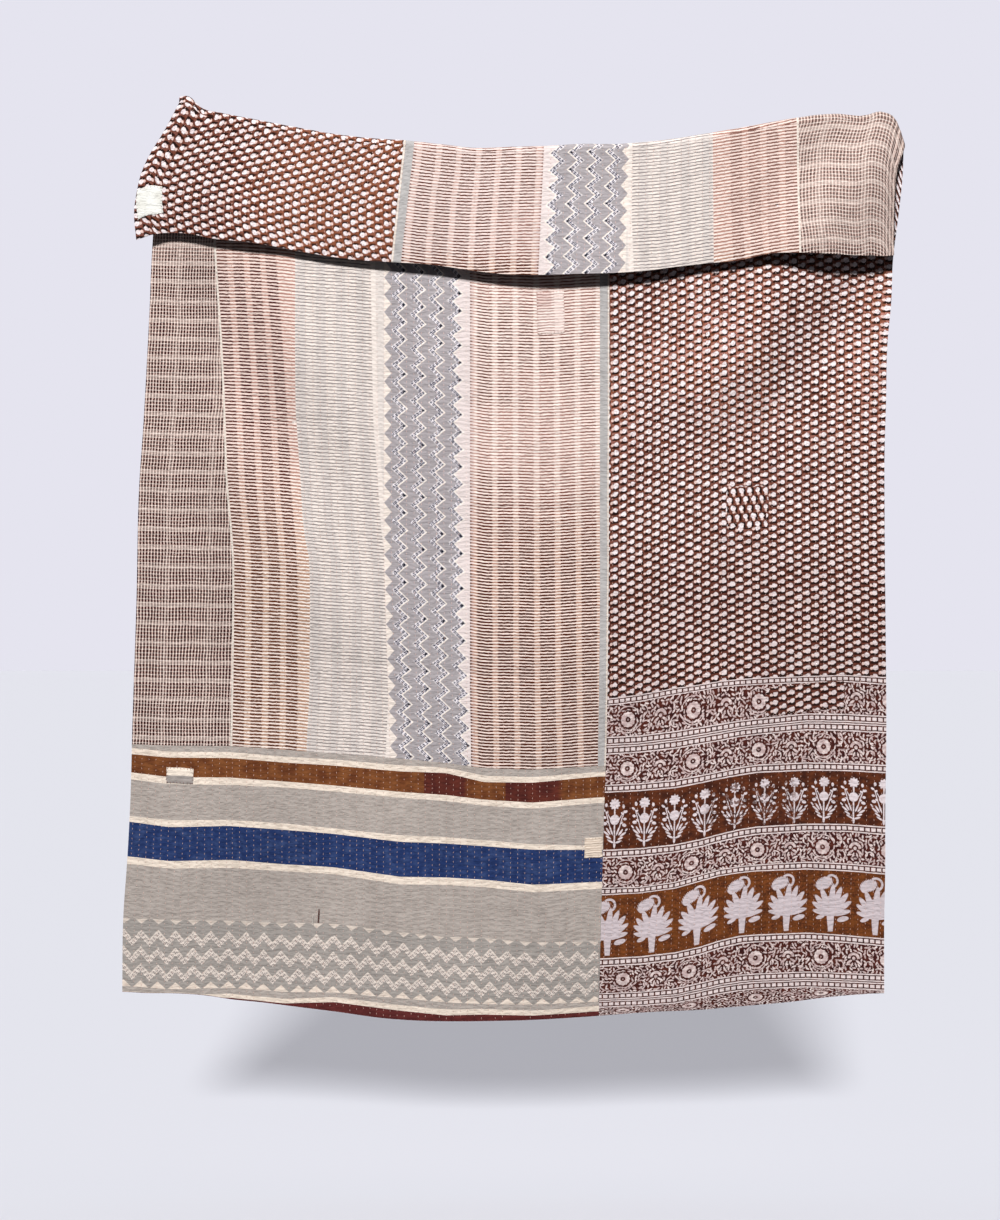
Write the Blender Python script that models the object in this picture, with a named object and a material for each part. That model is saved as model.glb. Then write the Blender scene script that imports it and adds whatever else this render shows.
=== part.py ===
"""A kantha quilt hanging by its upper edge, with the top of it folded forwards over itself.

The quilt hangs in the XZ plane and its front faces -Y. The origin is at the crown of the top
fold, near the middle of its length. Four panels make the quilt: two cloths side by side on the
front and two on the back. Small patches and a blank label are sewn on top.

A place on the cloth is (share, along). Share runs from 0 at the left edge to 1 at the right one.
Along runs from 0 at the hem to 1 where the fold starts, to 2 where the fold ends, and to 3 at
the free edge of the folded-over flap.
"""

import math

import bmesh
import bpy
import numpy as np

# Driving dimensions, in metres
FLAT_WIDTH = 1.52
CROWN_OFF = 0.009        # the crown's distance forward of the body, at the origin
LAYER_START = 0.00015    # from the quilt's middle to the inner face of each panel
LAYER_END = 0.00125      # and to its outer face, along a row of stitches
RIDGE_RISE = 0.0004      # of the cloth between two rows of stitches
SEAM_GAP = 0.0003        # between two panels of one face
FRONT_SEAM = 0.63        # share of the width where the front's two cloths meet
BACK_SEAM = 0.34
PATCH_CLEARANCE = 0.0006
PATCH_THICKNESS = 0.0010
SHARE_STEP = 1e-3        # for the slopes that give the cloth's normals
ALONG_STEP = 1e-3

# Each stretch of the width as (end share, columns): a ridge stands on every second column
COLUMN_ZONES = ((BACK_SEAM, 22), (FRONT_SEAM, 20), (1.0, 24))
BODY_ROWS = (0, 0.08, 0.17, 0.26, 0.35, 0.44, 0.52, 0.58, 0.635, 0.69, 0.74, 0.79, 0.84,
             0.885, 0.93, 0.97, 1.0)
FOLD_STEPS = 5
FLAP_STEPS = 4

# Heights across the quilt: of the fold's crown, the flap's free edge and the hem. Then the
# radius of the fold, and how far the free edge stands off the body, at the quilt's middle.
SECTION_COLUMNS = ("share", "crown", "flap_edge", "hem", "radius", "stand_off")
SECTIONS = np.array((
    (0.000, 0.100, -0.188, -1.690, 0.013, 0.030),
    (0.015, 0.100, -0.179, -1.691, 0.014, 0.030),
    (0.030, 0.081, -0.174, -1.692, 0.013, 0.028),
    (0.065, 0.068, -0.174, -1.692, 0.011, 0.024),
    (0.105, 0.058, -0.186, -1.696, 0.010, 0.021),
    (0.145, 0.048, -0.192, -1.706, 0.009, 0.020),
    (0.180, 0.039, -0.200, -1.712, 0.009, 0.020),
    (0.230, 0.027, -0.214, -1.722, 0.010, 0.020),
    (0.285, 0.018, -0.226, -1.732, 0.009, 0.020),
    (0.340, 0.013, -0.232, -1.743, 0.009, 0.021),
    (0.390, 0.005, -0.237, -1.748, 0.010, 0.022),
    (0.440, -0.002, -0.248, -1.749, 0.009, 0.025),
    (0.485, 0.000, -0.256, -1.748, 0.009, 0.029),
    (0.535, 0.002, -0.258, -1.746, 0.010, 0.034),
    (0.585, 0.006, -0.256, -1.742, 0.010, 0.036),
    (0.630, 0.006, -0.254, -1.738, 0.009, 0.036),
    (0.670, 0.010, -0.250, -1.734, 0.009, 0.034),
    (0.710, 0.017, -0.242, -1.730, 0.010, 0.029),
    (0.755, 0.028, -0.234, -1.726, 0.010, 0.024),
    (0.800, 0.040, -0.227, -1.720, 0.009, 0.024),
    (0.835, 0.050, -0.216, -1.716, 0.010, 0.031),
    (0.875, 0.060, -0.216, -1.711, 0.012, 0.039),
    (0.915, 0.066, -0.218, -1.704, 0.011, 0.042),
    (0.950, 0.062, -0.220, -1.699, 0.010, 0.042),
    (0.975, 0.069, -0.220, -1.696, 0.012, 0.040),
    (0.990, 0.052, -0.220, -1.694, 0.011, 0.038),
    (1.000, 0.008, -0.218, -1.694, 0.010, 0.036),
))

# The side edges of the body from the hem, at 0, to the fold, at 1, and those of the flap from
# the fold, at 0, to its free edge, at 1. Crowding moves the cloth between them towards the
# left, where the corners are gathered.
EDGE_COLUMNS = ("place", "left", "right", "crowding")
BODY_EDGES = np.array((
    (0.000, -0.772, 0.754, 0.000),
    (0.085, -0.770, 0.754, 0.000),
    (0.150, -0.762, 0.756, 0.000),
    (0.215, -0.756, 0.756, 0.000),
    (0.300, -0.752, 0.758, 0.000),
    (0.440, -0.744, 0.756, 0.000),
    (0.575, -0.738, 0.754, 0.000),
    (0.640, -0.730, 0.754, -0.001),
    (0.700, -0.724, 0.757, -0.004),
    (0.770, -0.718, 0.760, -0.008),
    (0.820, -0.715, 0.768, -0.013),
    (0.870, -0.709, 0.772, -0.018),
    (0.920, -0.700, 0.782, -0.023),
    (0.970, -0.676, 0.790, -0.028),
    (1.000, -0.656, 0.792, -0.031),
))
FLAP_EDGES = np.array((
    (0.000, -0.656, 0.792, -0.031),
    (0.180, -0.682, 0.778, -0.026),
    (0.400, -0.718, 0.772, -0.018),
    (0.520, -0.732, 0.771, -0.015),
    (0.640, -0.740, 0.770, -0.011),
    (0.790, -0.746, 0.770, -0.006),
    (1.000, -0.742, 0.770, 0.000),
))

# Soft ridges, of positive rise towards the front, and troughs, each between two points:
# start_x, start_z, end_x, end_z, width, rise
BODY_FOLDS = (
    (0.780, 0.060, 0.350, -0.600, 0.070, 0.016),     # drag from the right corner
    (0.880, -0.040, 0.460, -0.680, 0.060, -0.009),   # trough beside it
    (-0.720, 0.060, -0.230, -0.680, 0.080, 0.008),   # drag from the left corner
    (-0.800, -0.060, -0.310, -0.800, 0.070, -0.010),  # trough beside it
    (-0.640, -0.500, -0.240, -1.100, 0.075, 0.007),  # second, lower drag
    (-0.600, -1.000, -0.680, -1.900, 0.090, 0.012),  # waves towards the hem
    (-0.380, -0.900, -0.430, -1.900, 0.130, -0.013),
    (0.000, -0.750, 0.040, -1.900, 0.200, 0.014),
    (0.270, -1.050, 0.250, -1.900, 0.080, -0.010),
    (0.400, -0.850, 0.420, -1.900, 0.090, 0.011),
    (0.660, -0.950, 0.680, -1.900, 0.080, -0.012),
)
FLAP_FOLDS = (
    (-0.650, 0.120, -0.480, -0.260, 0.045, 0.008),   # from the gathered left corner
    (-0.660, 0.090, -0.680, -0.260, 0.040, -0.005),
    (-0.200, 0.060, -0.150, -0.320, 0.090, 0.005),
    (0.200, 0.060, 0.230, -0.320, 0.080, -0.005),
    (0.760, 0.100, 0.560, -0.260, 0.050, 0.007),     # from the gathered right corner
    (0.680, 0.100, 0.460, -0.220, 0.045, -0.006),
)

# Sewn-on pieces: name, face, share, along, width, height, turn in degrees, anticlockwise as
# seen from the front, and colour
PATCHES = (
    ("band_patch", "front", 0.065, 0.249, 0.054, 0.031, 0.0, (0.62, 0.56, 0.50)),
    ("cream_patch", "front", 0.6135, 0.195, 0.036, 0.040, 0.0, (0.80, 0.72, 0.63)),
    ("print_patch", "front", 0.892, 0.345, 0.160, 0.056, 0.0, (0.22, 0.09, 0.06)),
    ("stripe_patch", "front", 0.5525, 0.8145, 0.056, 0.084, 0.0, (0.72, 0.50, 0.42)),
    ("blank_label", "back", 0.0195, 2.735, 0.052, 0.058, 8.0, (0.78, 0.78, 0.73)),
)
PATCH_CELLS = (4, 3)

PANEL_COLOURS = {
    "front_striped_panel": (0.60, 0.45, 0.38),
    "front_print_panel": (0.20, 0.08, 0.05),
    "back_print_panel": (0.18, 0.06, 0.05),
    "back_striped_panel": (0.58, 0.43, 0.37),
}
CLOTH_ROUGHNESS = 0.92


def smooth_lookup(table, column, at):
    """A value read from a table's column by its first column, on a smooth curve."""
    places, values = table[:, 0], table[:, column]
    slopes = np.gradient(values, places)
    row = np.clip(np.searchsorted(places, at, side="right") - 1, 0, len(places) - 2)
    span = places[row + 1] - places[row]
    t = np.clip((at - places[row]) / span, 0, 1)
    first = (1 + 2 * t) * (1 - t) ** 2 * values[row] + t * (1 - t) ** 2 * span * slopes[row]
    return (first + t * t * (3 - 2 * t) * values[row + 1]
            + t * t * (t - 1) * span * slopes[row + 1])


def section(name, share):
    return smooth_lookup(SECTIONS, SECTION_COLUMNS.index(name), share)


def across(edges, share, place):
    """Where a share of the width lies along X, at a place between a table's side edges."""
    left, right, crowding = (smooth_lookup(edges, EDGE_COLUMNS.index(name), place)
                             for name in ("left", "right", "crowding"))
    return left + (right - left) * (share + 4 * crowding * share * (1 - share))


def rise(folds, x, z):
    """How far a set of folds lifts the cloth towards the front."""
    total = 0
    for start_x, start_z, end_x, end_z, width, height in folds:
        run = (end_x - start_x, end_z - start_z)
        length = math.hypot(*run)
        gone = ((x - start_x) * run[0] + (z - start_z) * run[1]) / length
        off = ((x - start_x) * run[1] - (z - start_z) * run[0]) / length
        fade = np.clip(4 * gone / length, 0, 1) * np.clip(4 * (1 - gone / length), 0, 1)
        total = total + height * np.exp(-((off / width) ** 2)) * fade * fade * (3 - 2 * fade)
    return total


def middle(share, along):
    """Points of the surface halfway through the quilt."""
    radius = section("radius", share)
    turn_z = section("crown", share) - LAYER_END - radius
    up = np.clip(along, 0, 1)
    turn = math.pi * np.clip(along - 1, 0, 1)
    down = np.clip(along - 2, 0, 1)
    x = np.where(down > 0, across(FLAP_EDGES, share, down), across(BODY_EDGES, share, up))
    z = section("hem", share) * (1 - up) + turn_z * up
    z = z + radius * np.sin(turn) + (section("flap_edge", share) - turn_z) * down
    off = radius * (1 - np.cos(turn)) + (section("stand_off", share) - 2 * radius) * down ** 1.5
    off = off + rise(BODY_FOLDS, x, z) + rise(FLAP_FOLDS, x, z) * np.minimum(1, 3 * down)
    return np.stack((x, CROWN_OFF - off, z), axis=-1)


def front_normal(share, along):
    wide = middle(share + SHARE_STEP, along) - middle(share - SHARE_STEP, along)
    tall = middle(share, along + ALONG_STEP) - middle(share, along - ALONG_STEP)
    normal = np.cross(wide, tall)
    return normal / np.linalg.norm(normal, axis=-1, keepdims=True)


def column_shares():
    shares, start = [0.0], 0.0
    for end, count in COLUMN_ZONES:
        shares += [start + (end - start) * step / count for step in range(1, count + 1)]
        start = end
    return np.array(shares)


def row_alongs():
    fold = [1 + step / FOLD_STEPS for step in range(1, FOLD_STEPS + 1)]
    flap = [2 + step / FLAP_STEPS for step in range(1, FLAP_STEPS + 1)]
    return np.array(list(BODY_ROWS) + fold + flap)


SHARES, ALONGS = column_shares(), row_alongs()
GRID = np.meshgrid(SHARES, ALONGS, indexing="ij")
POINTS, NORMALS = middle(*GRID), front_normal(*GRID)
DEPTHS = POINTS[..., 1]
# Each cell is split along the diagonal that lies more nearly along its fold
RISING_SPLIT = (abs(DEPTHS[:-1, :-1] - DEPTHS[1:, 1:])
                < abs(DEPTHS[1:, :-1] - DEPTHS[:-1, 1:]))


def cell_of(share, along):
    column = np.clip(np.searchsorted(SHARES, share, side="right") - 1, 0, len(SHARES) - 2)
    row = np.clip(np.searchsorted(ALONGS, along, side="right") - 1, 0, len(ALONGS) - 2)
    return column, row


def on_cloth(share, along, height):
    """A point at a height over the quilt's middle, on the flat faces between its sections."""
    column, row = cell_of(share, along)
    s = (share - SHARES[column]) / (SHARES[column + 1] - SHARES[column])
    t = (along - ALONGS[row]) / (ALONGS[row + 1] - ALONGS[row])
    (a, d), (b, c) = (POINTS + height * NORMALS)[column:column + 2, row:row + 2]
    if RISING_SPLIT[column, row]:
        return a + s * (b - a) + t * (c - b) if s > t else a + t * (d - a) + s * (c - d)
    if s + t < 1:
        return a + s * (b - a) + t * (d - a)
    return c + (1 - s) * (d - c) + (1 - t) * (b - c)


def join_rows(bm, one, other):
    for k in range(len(one) - 1):
        bm.faces.new((one[k], one[k + 1], other[k + 1], other[k]))


def add_cells(bm, surface, shares):
    """The faces of one side of a panel, every cell split as the panels under and over it are."""
    for i in range(len(surface) - 1):
        for j in range(len(ALONGS) - 1):
            a, b, c, d = surface[i][j], surface[i + 1][j], surface[i + 1][j + 1], surface[i][j + 1]
            halves = ((a, b, c), (a, c, d))
            if not RISING_SPLIT[cell_of((shares[i] + shares[i + 1]) / 2, ALONGS[j])]:
                halves = ((a, b, d), (b, c, d))
            for half in halves:
                bm.faces.new(half)


def finish(bm, name, colour):
    bmesh.ops.recalc_face_normals(bm, faces=bm.faces)
    mesh = bpy.data.meshes.new(name)
    bm.to_mesh(mesh)
    bm.free()
    mesh.shade_smooth()
    mesh.set_sharp_from_angle(angle=math.radians(40))
    material = bpy.data.materials.new(name)
    material.use_nodes = True
    shader = material.node_tree.nodes["Principled BSDF"]
    shader.inputs["Base Color"].default_value = (*colour, 1)
    shader.inputs["Roughness"].default_value = CLOTH_ROUGHNESS
    shader.inputs["Metallic"].default_value = 0
    mesh.materials.append(material)
    bpy.context.collection.objects.link(bpy.data.objects.new(name, mesh))


def add_panel(name, face, start, end):
    """One cloth of the quilt, ridged on its outer face, from one share of the width to another."""
    toward = 1 if face == "front" else -1
    shares = SHARES[np.logical_and(SHARES > start - 1e-6, SHARES < end + 1e-6)]
    half_gap = SEAM_GAP / 2 / FLAT_WIDTH
    shares[0] += half_gap if start > 0 else 0
    shares[-1] -= half_gap if end < 1 else 0
    bm = bmesh.new()
    outer = [[bm.verts.new(on_cloth(share, along, toward * (LAYER_END + RIDGE_RISE * (k % 2))))
              for along in ALONGS] for k, share in enumerate(shares)]
    inner = [[bm.verts.new(on_cloth(share, along, toward * LAYER_START)) for along in ALONGS]
             for share in shares]
    for surface in (outer, inner):
        add_cells(bm, surface, shares)
    for row in (0, -1):
        join_rows(bm, [line[row] for line in outer], [line[row] for line in inner])
    for column in (0, -1):
        join_rows(bm, outer[column], inner[column])
    finish(bm, name, PANEL_COLOURS[name])


def local_length(share, along):
    """Metres of cloth for each unit of along."""
    ends = middle(share, np.array((along - ALONG_STEP, along + ALONG_STEP)))
    return np.linalg.norm(ends[1] - ends[0]) / (2 * ALONG_STEP)


def add_patch(name, face, share, along, width, height, turn, colour):
    """A small piece of cloth that lies on a panel's outer face."""
    toward = 1 if face == "front" else -1
    lowest = LAYER_END + RIDGE_RISE + PATCH_CLEARANCE
    length = local_length(share, along) * (1 if along < 1 else -1)
    lean = (math.cos(math.radians(turn)), math.sin(math.radians(turn)))
    bm = bmesh.new()
    faces = []
    for level in (lowest, lowest + PATCH_THICKNESS):
        grid = []
        for i in range(PATCH_CELLS[0] + 1):
            line = []
            for j in range(PATCH_CELLS[1] + 1):
                a = width * (i / PATCH_CELLS[0] - 0.5)
                b = height * (j / PATCH_CELLS[1] - 0.5)
                place = share + (a * lean[0] - b * lean[1]) / FLAT_WIDTH
                height_on = along + (a * lean[1] + b * lean[0]) / length
                line.append(bm.verts.new(on_cloth(place, height_on, toward * level)))
            grid.append(line)
        for i in range(PATCH_CELLS[0]):
            join_rows(bm, grid[i], grid[i + 1])
        faces.append(grid)
    under, over = faces
    for column in (0, -1):
        join_rows(bm, under[column], over[column])
    for row in (0, -1):
        join_rows(bm, [line[row] for line in under], [line[row] for line in over])
    finish(bm, name, colour)


def main():
    for old in list(bpy.data.objects):
        bpy.data.objects.remove(old)
    add_panel("front_striped_panel", "front", 0, FRONT_SEAM)
    add_panel("front_print_panel", "front", FRONT_SEAM, 1)
    add_panel("back_print_panel", "back", 0, BACK_SEAM)
    add_panel("back_striped_panel", "back", BACK_SEAM, 1)
    for patch in PATCHES:
        add_patch(*patch)


main()
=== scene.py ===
import functools
import math

import bmesh
import bpy
import mathutils
import numpy as np
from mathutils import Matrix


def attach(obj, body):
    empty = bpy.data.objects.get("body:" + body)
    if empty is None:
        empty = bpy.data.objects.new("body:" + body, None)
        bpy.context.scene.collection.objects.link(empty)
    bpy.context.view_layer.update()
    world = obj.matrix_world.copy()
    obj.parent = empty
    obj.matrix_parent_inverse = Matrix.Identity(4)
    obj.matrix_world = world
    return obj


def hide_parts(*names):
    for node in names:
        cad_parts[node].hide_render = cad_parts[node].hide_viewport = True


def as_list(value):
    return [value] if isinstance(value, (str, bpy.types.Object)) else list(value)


# A hand-stitched kantha quilt that hangs by its upper edge, its top folded over to the front.
# A place on the cloth is (share, along): share goes from 0 to 1 across the width, and along
# from 0 at the hem to 1 at the fold, 2 where the fold ends and 3 at the flap's free edge.

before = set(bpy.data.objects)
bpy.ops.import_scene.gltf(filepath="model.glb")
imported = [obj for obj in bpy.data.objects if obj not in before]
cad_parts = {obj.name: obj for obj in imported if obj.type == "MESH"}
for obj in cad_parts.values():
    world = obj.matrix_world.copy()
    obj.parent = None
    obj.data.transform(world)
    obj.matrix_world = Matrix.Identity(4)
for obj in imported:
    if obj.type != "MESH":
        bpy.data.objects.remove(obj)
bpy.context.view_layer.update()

# The hanging shape has the same tables as the part, in metres.
quilt = dict(
    width=1.52,             # laid flat
    crownOff=0.009,         # the crown's distance forward of the body
    layer=0.00125,          # from the quilt's middle to a face's stitch rows
    lining=0.00015,         # and to the inner side of that cloth
    seamGap=0.0003,
    slopeStep=1e-3,         # along or across, for the slopes that give the cloth's normals
    flapSwing=1.5,          # above 1, the flap leaves the body more steeply towards its edge
)

sectionColumns = ("share", "crown", "flapEdge", "hem", "radius", "standOff")
sections = np.array((
    (0.000, 0.100, -0.188, -1.690, 0.013, 0.030),
    (0.015, 0.100, -0.179, -1.691, 0.014, 0.030),
    (0.030, 0.081, -0.174, -1.692, 0.013, 0.028),
    (0.065, 0.068, -0.174, -1.692, 0.011, 0.024),
    (0.105, 0.058, -0.186, -1.696, 0.010, 0.021),
    (0.145, 0.048, -0.192, -1.706, 0.009, 0.020),
    (0.180, 0.039, -0.200, -1.712, 0.009, 0.020),
    (0.230, 0.027, -0.214, -1.722, 0.010, 0.020),
    (0.285, 0.018, -0.226, -1.732, 0.009, 0.020),
    (0.340, 0.013, -0.232, -1.743, 0.009, 0.021),
    (0.390, 0.005, -0.237, -1.748, 0.010, 0.022),
    (0.440, -0.002, -0.248, -1.749, 0.009, 0.025),
    (0.485, 0.000, -0.256, -1.748, 0.009, 0.029),
    (0.535, 0.002, -0.258, -1.746, 0.010, 0.034),
    (0.585, 0.006, -0.256, -1.742, 0.010, 0.036),
    (0.630, 0.006, -0.254, -1.738, 0.009, 0.036),
    (0.670, 0.010, -0.250, -1.734, 0.009, 0.034),
    (0.710, 0.017, -0.242, -1.730, 0.010, 0.029),
    (0.755, 0.028, -0.234, -1.726, 0.010, 0.024),
    (0.800, 0.040, -0.227, -1.720, 0.009, 0.024),
    (0.835, 0.050, -0.216, -1.716, 0.010, 0.031),
    (0.875, 0.060, -0.216, -1.711, 0.012, 0.039),
    (0.915, 0.066, -0.218, -1.704, 0.011, 0.042),
    (0.950, 0.062, -0.220, -1.699, 0.010, 0.042),
    (0.975, 0.069, -0.220, -1.696, 0.012, 0.040),
    (0.990, 0.052, -0.220, -1.694, 0.011, 0.038),
    (1.000, 0.008, -0.218, -1.694, 0.010, 0.036),
))

edgeColumns = ("place", "left", "right", "crowding")
bodyEdges = np.array((
    (0.000, -0.772, 0.754, 0.000),
    (0.085, -0.770, 0.754, 0.000),
    (0.150, -0.762, 0.756, 0.000),
    (0.215, -0.756, 0.756, 0.000),
    (0.300, -0.752, 0.758, 0.000),
    (0.440, -0.744, 0.756, 0.000),
    (0.575, -0.738, 0.754, 0.000),
    (0.640, -0.730, 0.754, -0.001),
    (0.700, -0.724, 0.757, -0.004),
    (0.770, -0.718, 0.760, -0.008),
    (0.820, -0.715, 0.768, -0.013),
    (0.870, -0.709, 0.772, -0.018),
    (0.920, -0.700, 0.782, -0.023),
    (0.970, -0.676, 0.790, -0.028),
    (1.000, -0.656, 0.792, -0.031),
))
flapEdges = np.array((
    (0.000, -0.656, 0.792, -0.031),
    (0.180, -0.682, 0.778, -0.026),
    (0.400, -0.718, 0.772, -0.018),
    (0.520, -0.732, 0.771, -0.015),
    (0.640, -0.740, 0.770, -0.011),
    (0.790, -0.746, 0.770, -0.006),
    (1.000, -0.742, 0.770, 0.000),
))

# soft ridges (+) and troughs (-): startX, startZ, endX, endZ, width, rise
bodyFolds = (
    (0.780, 0.060, 0.350, -0.600, 0.070, 0.016),
    (0.880, -0.040, 0.460, -0.680, 0.060, -0.009),
    (-0.720, 0.060, -0.230, -0.680, 0.080, 0.008),
    (-0.800, -0.060, -0.310, -0.800, 0.070, -0.010),
    (-0.640, -0.500, -0.240, -1.100, 0.075, 0.007),
    (-0.600, -1.000, -0.680, -1.900, 0.090, 0.012),
    (-0.380, -0.900, -0.430, -1.900, 0.130, -0.013),
    (0.000, -0.750, 0.040, -1.900, 0.200, 0.014),
    (0.270, -1.050, 0.250, -1.900, 0.080, -0.010),
    (0.400, -0.850, 0.420, -1.900, 0.090, 0.011),
    (0.660, -0.950, 0.680, -1.900, 0.080, -0.012),
)
flapFolds = (
    (-0.650, 0.120, -0.480, -0.260, 0.045, 0.008),
    (-0.660, 0.090, -0.680, -0.260, 0.040, -0.005),
    (-0.200, 0.060, -0.150, -0.320, 0.090, 0.005),
    (0.200, 0.060, 0.230, -0.320, 0.080, -0.005),
    (0.760, 0.100, 0.560, -0.260, 0.050, 0.007),
    (0.680, 0.100, 0.460, -0.220, 0.045, -0.006),
)
# sharper creases from being stored folded, too fine for the part's own solids
bodyCreases = (
    (0.180, -0.662, 0.780, -0.650, 0.007, -0.0013),
    (0.220, -0.800, 0.760, -0.790, 0.008, -0.0011),
    (0.200, -0.925, 0.700, -0.912, 0.007, -0.0012),
    (-0.080, -0.722, 0.200, -0.730, 0.007, -0.0012),
    (-0.120, -0.905, 0.180, -0.912, 0.008, -0.0010),
    (-0.500, -1.020, 0.150, -1.070, 0.009, -0.0010),
    (-0.700, -0.560, -0.200, -0.540, 0.008, -0.0009),
)
flapCreases = (
    (0.408, -0.125, 0.578, -0.010, 0.010, 0.0012),
    (-0.600, -0.060, -0.300, -0.140, 0.008, -0.0009),
)


def smoothLookup(table, column, at):
    places, values = table[:, 0], table[:, column]
    slopes = np.gradient(values, places)
    row = np.clip(np.searchsorted(places, at, side="right") - 1, 0, len(places) - 2)
    span = places[row + 1] - places[row]
    t = np.clip((at - places[row]) / span, 0, 1)
    first = (1 + 2 * t) * (1 - t) ** 2 * values[row] + t * (1 - t) ** 2 * span * slopes[row]
    return (first + t * t * (3 - 2 * t) * values[row + 1]
            + t * t * (t - 1) * span * slopes[row + 1])


def section(name, share):
    return smoothLookup(sections, sectionColumns.index(name), share)


def edgesAt(edges, place):
    return [smoothLookup(edges, edgeColumns.index(name), place)
            for name in ("left", "right", "crowding")]


def across(edges, share, place):
    left, right, crowding = edgesAt(edges, place)
    return left + (right - left) * (share + 4 * crowding * share * (1 - share))


# What the folds add at a place. Each fades in and out over a quarter of its length.
def rise(folds, x, z):
    total = 0
    for startX, startZ, endX, endZ, width, height in folds:
        run = (endX - startX, endZ - startZ)
        length = math.hypot(*run)
        gone = ((x - startX) * run[0] + (z - startZ) * run[1]) / length
        off = ((x - startX) * run[1] - (z - startZ) * run[0]) / length
        fade = np.clip(4 * gone / length, 0, 1) * np.clip(4 * (1 - gone / length), 0, 1)
        total = total + height * np.exp(-((off / width) ** 2)) * fade * fade * (3 - 2 * fade)
    return total


def turnHeight(share):
    return section("crown", share) - quilt["layer"] - section("radius", share)


def middle(share, along):
    radius, turnZ = section("radius", share), turnHeight(share)
    up = np.clip(along, 0, 1)
    turn = math.pi * np.clip(along - 1, 0, 1)
    down = np.clip(along - 2, 0, 1)
    x = np.where(down > 0, across(flapEdges, share, down), across(bodyEdges, share, up))
    z = section("hem", share) * (1 - up) + turnZ * up
    z = z + radius * np.sin(turn) + (section("flapEdge", share) - turnZ) * down
    off = (radius * (1 - np.cos(turn))
           + (section("standOff", share) - 2 * radius) * down ** quilt["flapSwing"])
    off = off + rise(bodyFolds, x, z) + rise(flapFolds, x, z) * np.minimum(1, 3 * down)
    return np.stack((x, quilt["crownOff"] - off, z), axis=-1)


def unit(vectors):
    return vectors / np.linalg.norm(vectors, axis=-1, keepdims=True)


def frontNormal(share, along):
    step = quilt["slopeStep"]
    wide = middle(share + step, along) - middle(share - step, along)
    tall = middle(share, along + step) - middle(share, along - step)
    return unit(np.cross(wide, tall))


# Metres of cloth from the hem up to a place, over the fold and down the flap.
def clothRun(share, along):
    turnZ = turnHeight(share)
    return ((turnZ - section("hem", share)) * np.clip(along, 0, 1)
            + math.pi * section("radius", share) * np.clip(along - 1, 0, 1)
            + (turnZ - section("flapEdge", share)) * np.clip(along - 2, 0, 1))


# The lines between the patterns, as places on the cloth.

shareSamples = np.linspace(0, 1, 201)
alongSamples = np.linspace(0, 3, 151)
bodyTop = 0.90          # the flap hides what the front cloths have above this


# The share where a line of X places crosses an along. Each round uses the last one's heights.
def shareOfLine(along, heights, places, rounds=12):
    onFlap = along > 1.5
    edges = flapEdges if onFlap else bodyEdges
    place = max(along - 2, 0) if onFlap else min(along, 1)
    left, right, crowding = edgesAt(edges, place)
    share = 0.5
    for _ in range(rounds):
        turnZ = turnHeight(share)
        end = section("flapEdge", share) if onFlap else section("hem", share)
        z = turnZ + (end - turnZ) * (place if onFlap else 1 - place)
        x = np.interp(z, heights, places)
        share = (x - left) / (right - left) - 4 * crowding * share * (1 - share)
    return float(share)


def alongOfLine(share, stations, heights, firstGuess=0.3, rounds=6):
    along = np.full_like(share, firstGuess)
    for _ in range(rounds):
        z = np.interp(across(bodyEdges, share, along), stations, heights)
        hem = section("hem", share)
        along = (z - hem) / (turnHeight(share) - hem)
    return along


# Every line as shares at alongSamples, from X places that are given from the top downwards.
def columnTable(heights, lines, onFlap):
    alongs = np.maximum(alongSamples, 2) if onFlap else np.minimum(alongSamples, 1)
    return np.array([[shareOfLine(along, heights[::-1], places[::-1]) for along in alongs]
                     for places in lines])


# Every line as alongs at shareSamples; each is kept a little above the one below it.
def rowTable(stations, lines, leastStep=0.0005):
    table = [np.zeros_like(shareSamples)]
    for heights in lines:
        line = alongOfLine(shareSamples, stations, heights)
        table.append(np.maximum(line, table[-1] + leastStep))
    return table


def evenRowTable(distances):
    length = turnHeight(shareSamples) - section("hem", shareSamples)
    return [np.zeros_like(shareSamples)] + [distance / length for distance in distances]


def levelRows(*alongs):
    return [np.full_like(shareSamples, along) for along in alongs]


stripedLines = dict(
    heights=(-0.206, -0.366, -0.530, -0.666, -0.766, -0.826, -0.906, -1.086, -1.196, -1.306,
             -1.506, -1.706),
    lines=(
        (-0.588, -0.578, -0.570, -0.565, -0.556, -0.552, -0.552, -0.554, -0.556, -0.556,
         -0.556, -0.556),
        (-0.584, -0.574, -0.566, -0.561, -0.552, -0.548, -0.548, -0.550, -0.552, -0.552,
         -0.552, -0.552),
        (-0.426, -0.426, -0.425, -0.416, -0.410, -0.397, -0.396, -0.398, -0.404, -0.404,
         -0.404, -0.404),
        (-0.248, -0.248, -0.248, -0.248, -0.248, -0.248, -0.246, -0.240, -0.236, -0.236,
         -0.236, -0.236),
        (-0.076, -0.076, -0.076, -0.076, -0.076, -0.076, -0.076, -0.076, -0.074, -0.074,
         -0.074, -0.074),
        (0.184, 0.184, 0.184, 0.184, 0.184, 0.184, 0.184, 0.182, 0.180, 0.179, 0.176, 0.170),
        (0.200, 0.200, 0.200, 0.199, 0.199, 0.199, 0.198, 0.196, 0.194, 0.190, 0.184, 0.178),
        (0.203, 0.203, 0.203, 0.202, 0.202, 0.202, 0.201, 0.199, 0.197, 0.193, 0.187, 0.182),
    ),
    zones=("check", "whiteLine", "stripesA", "pale", "zigzag", "stripesB", "greyStrip",
           "whiteLine"),
    columns=(28, 1, 21, 25, 23, 35, 2, 1),
)
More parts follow.
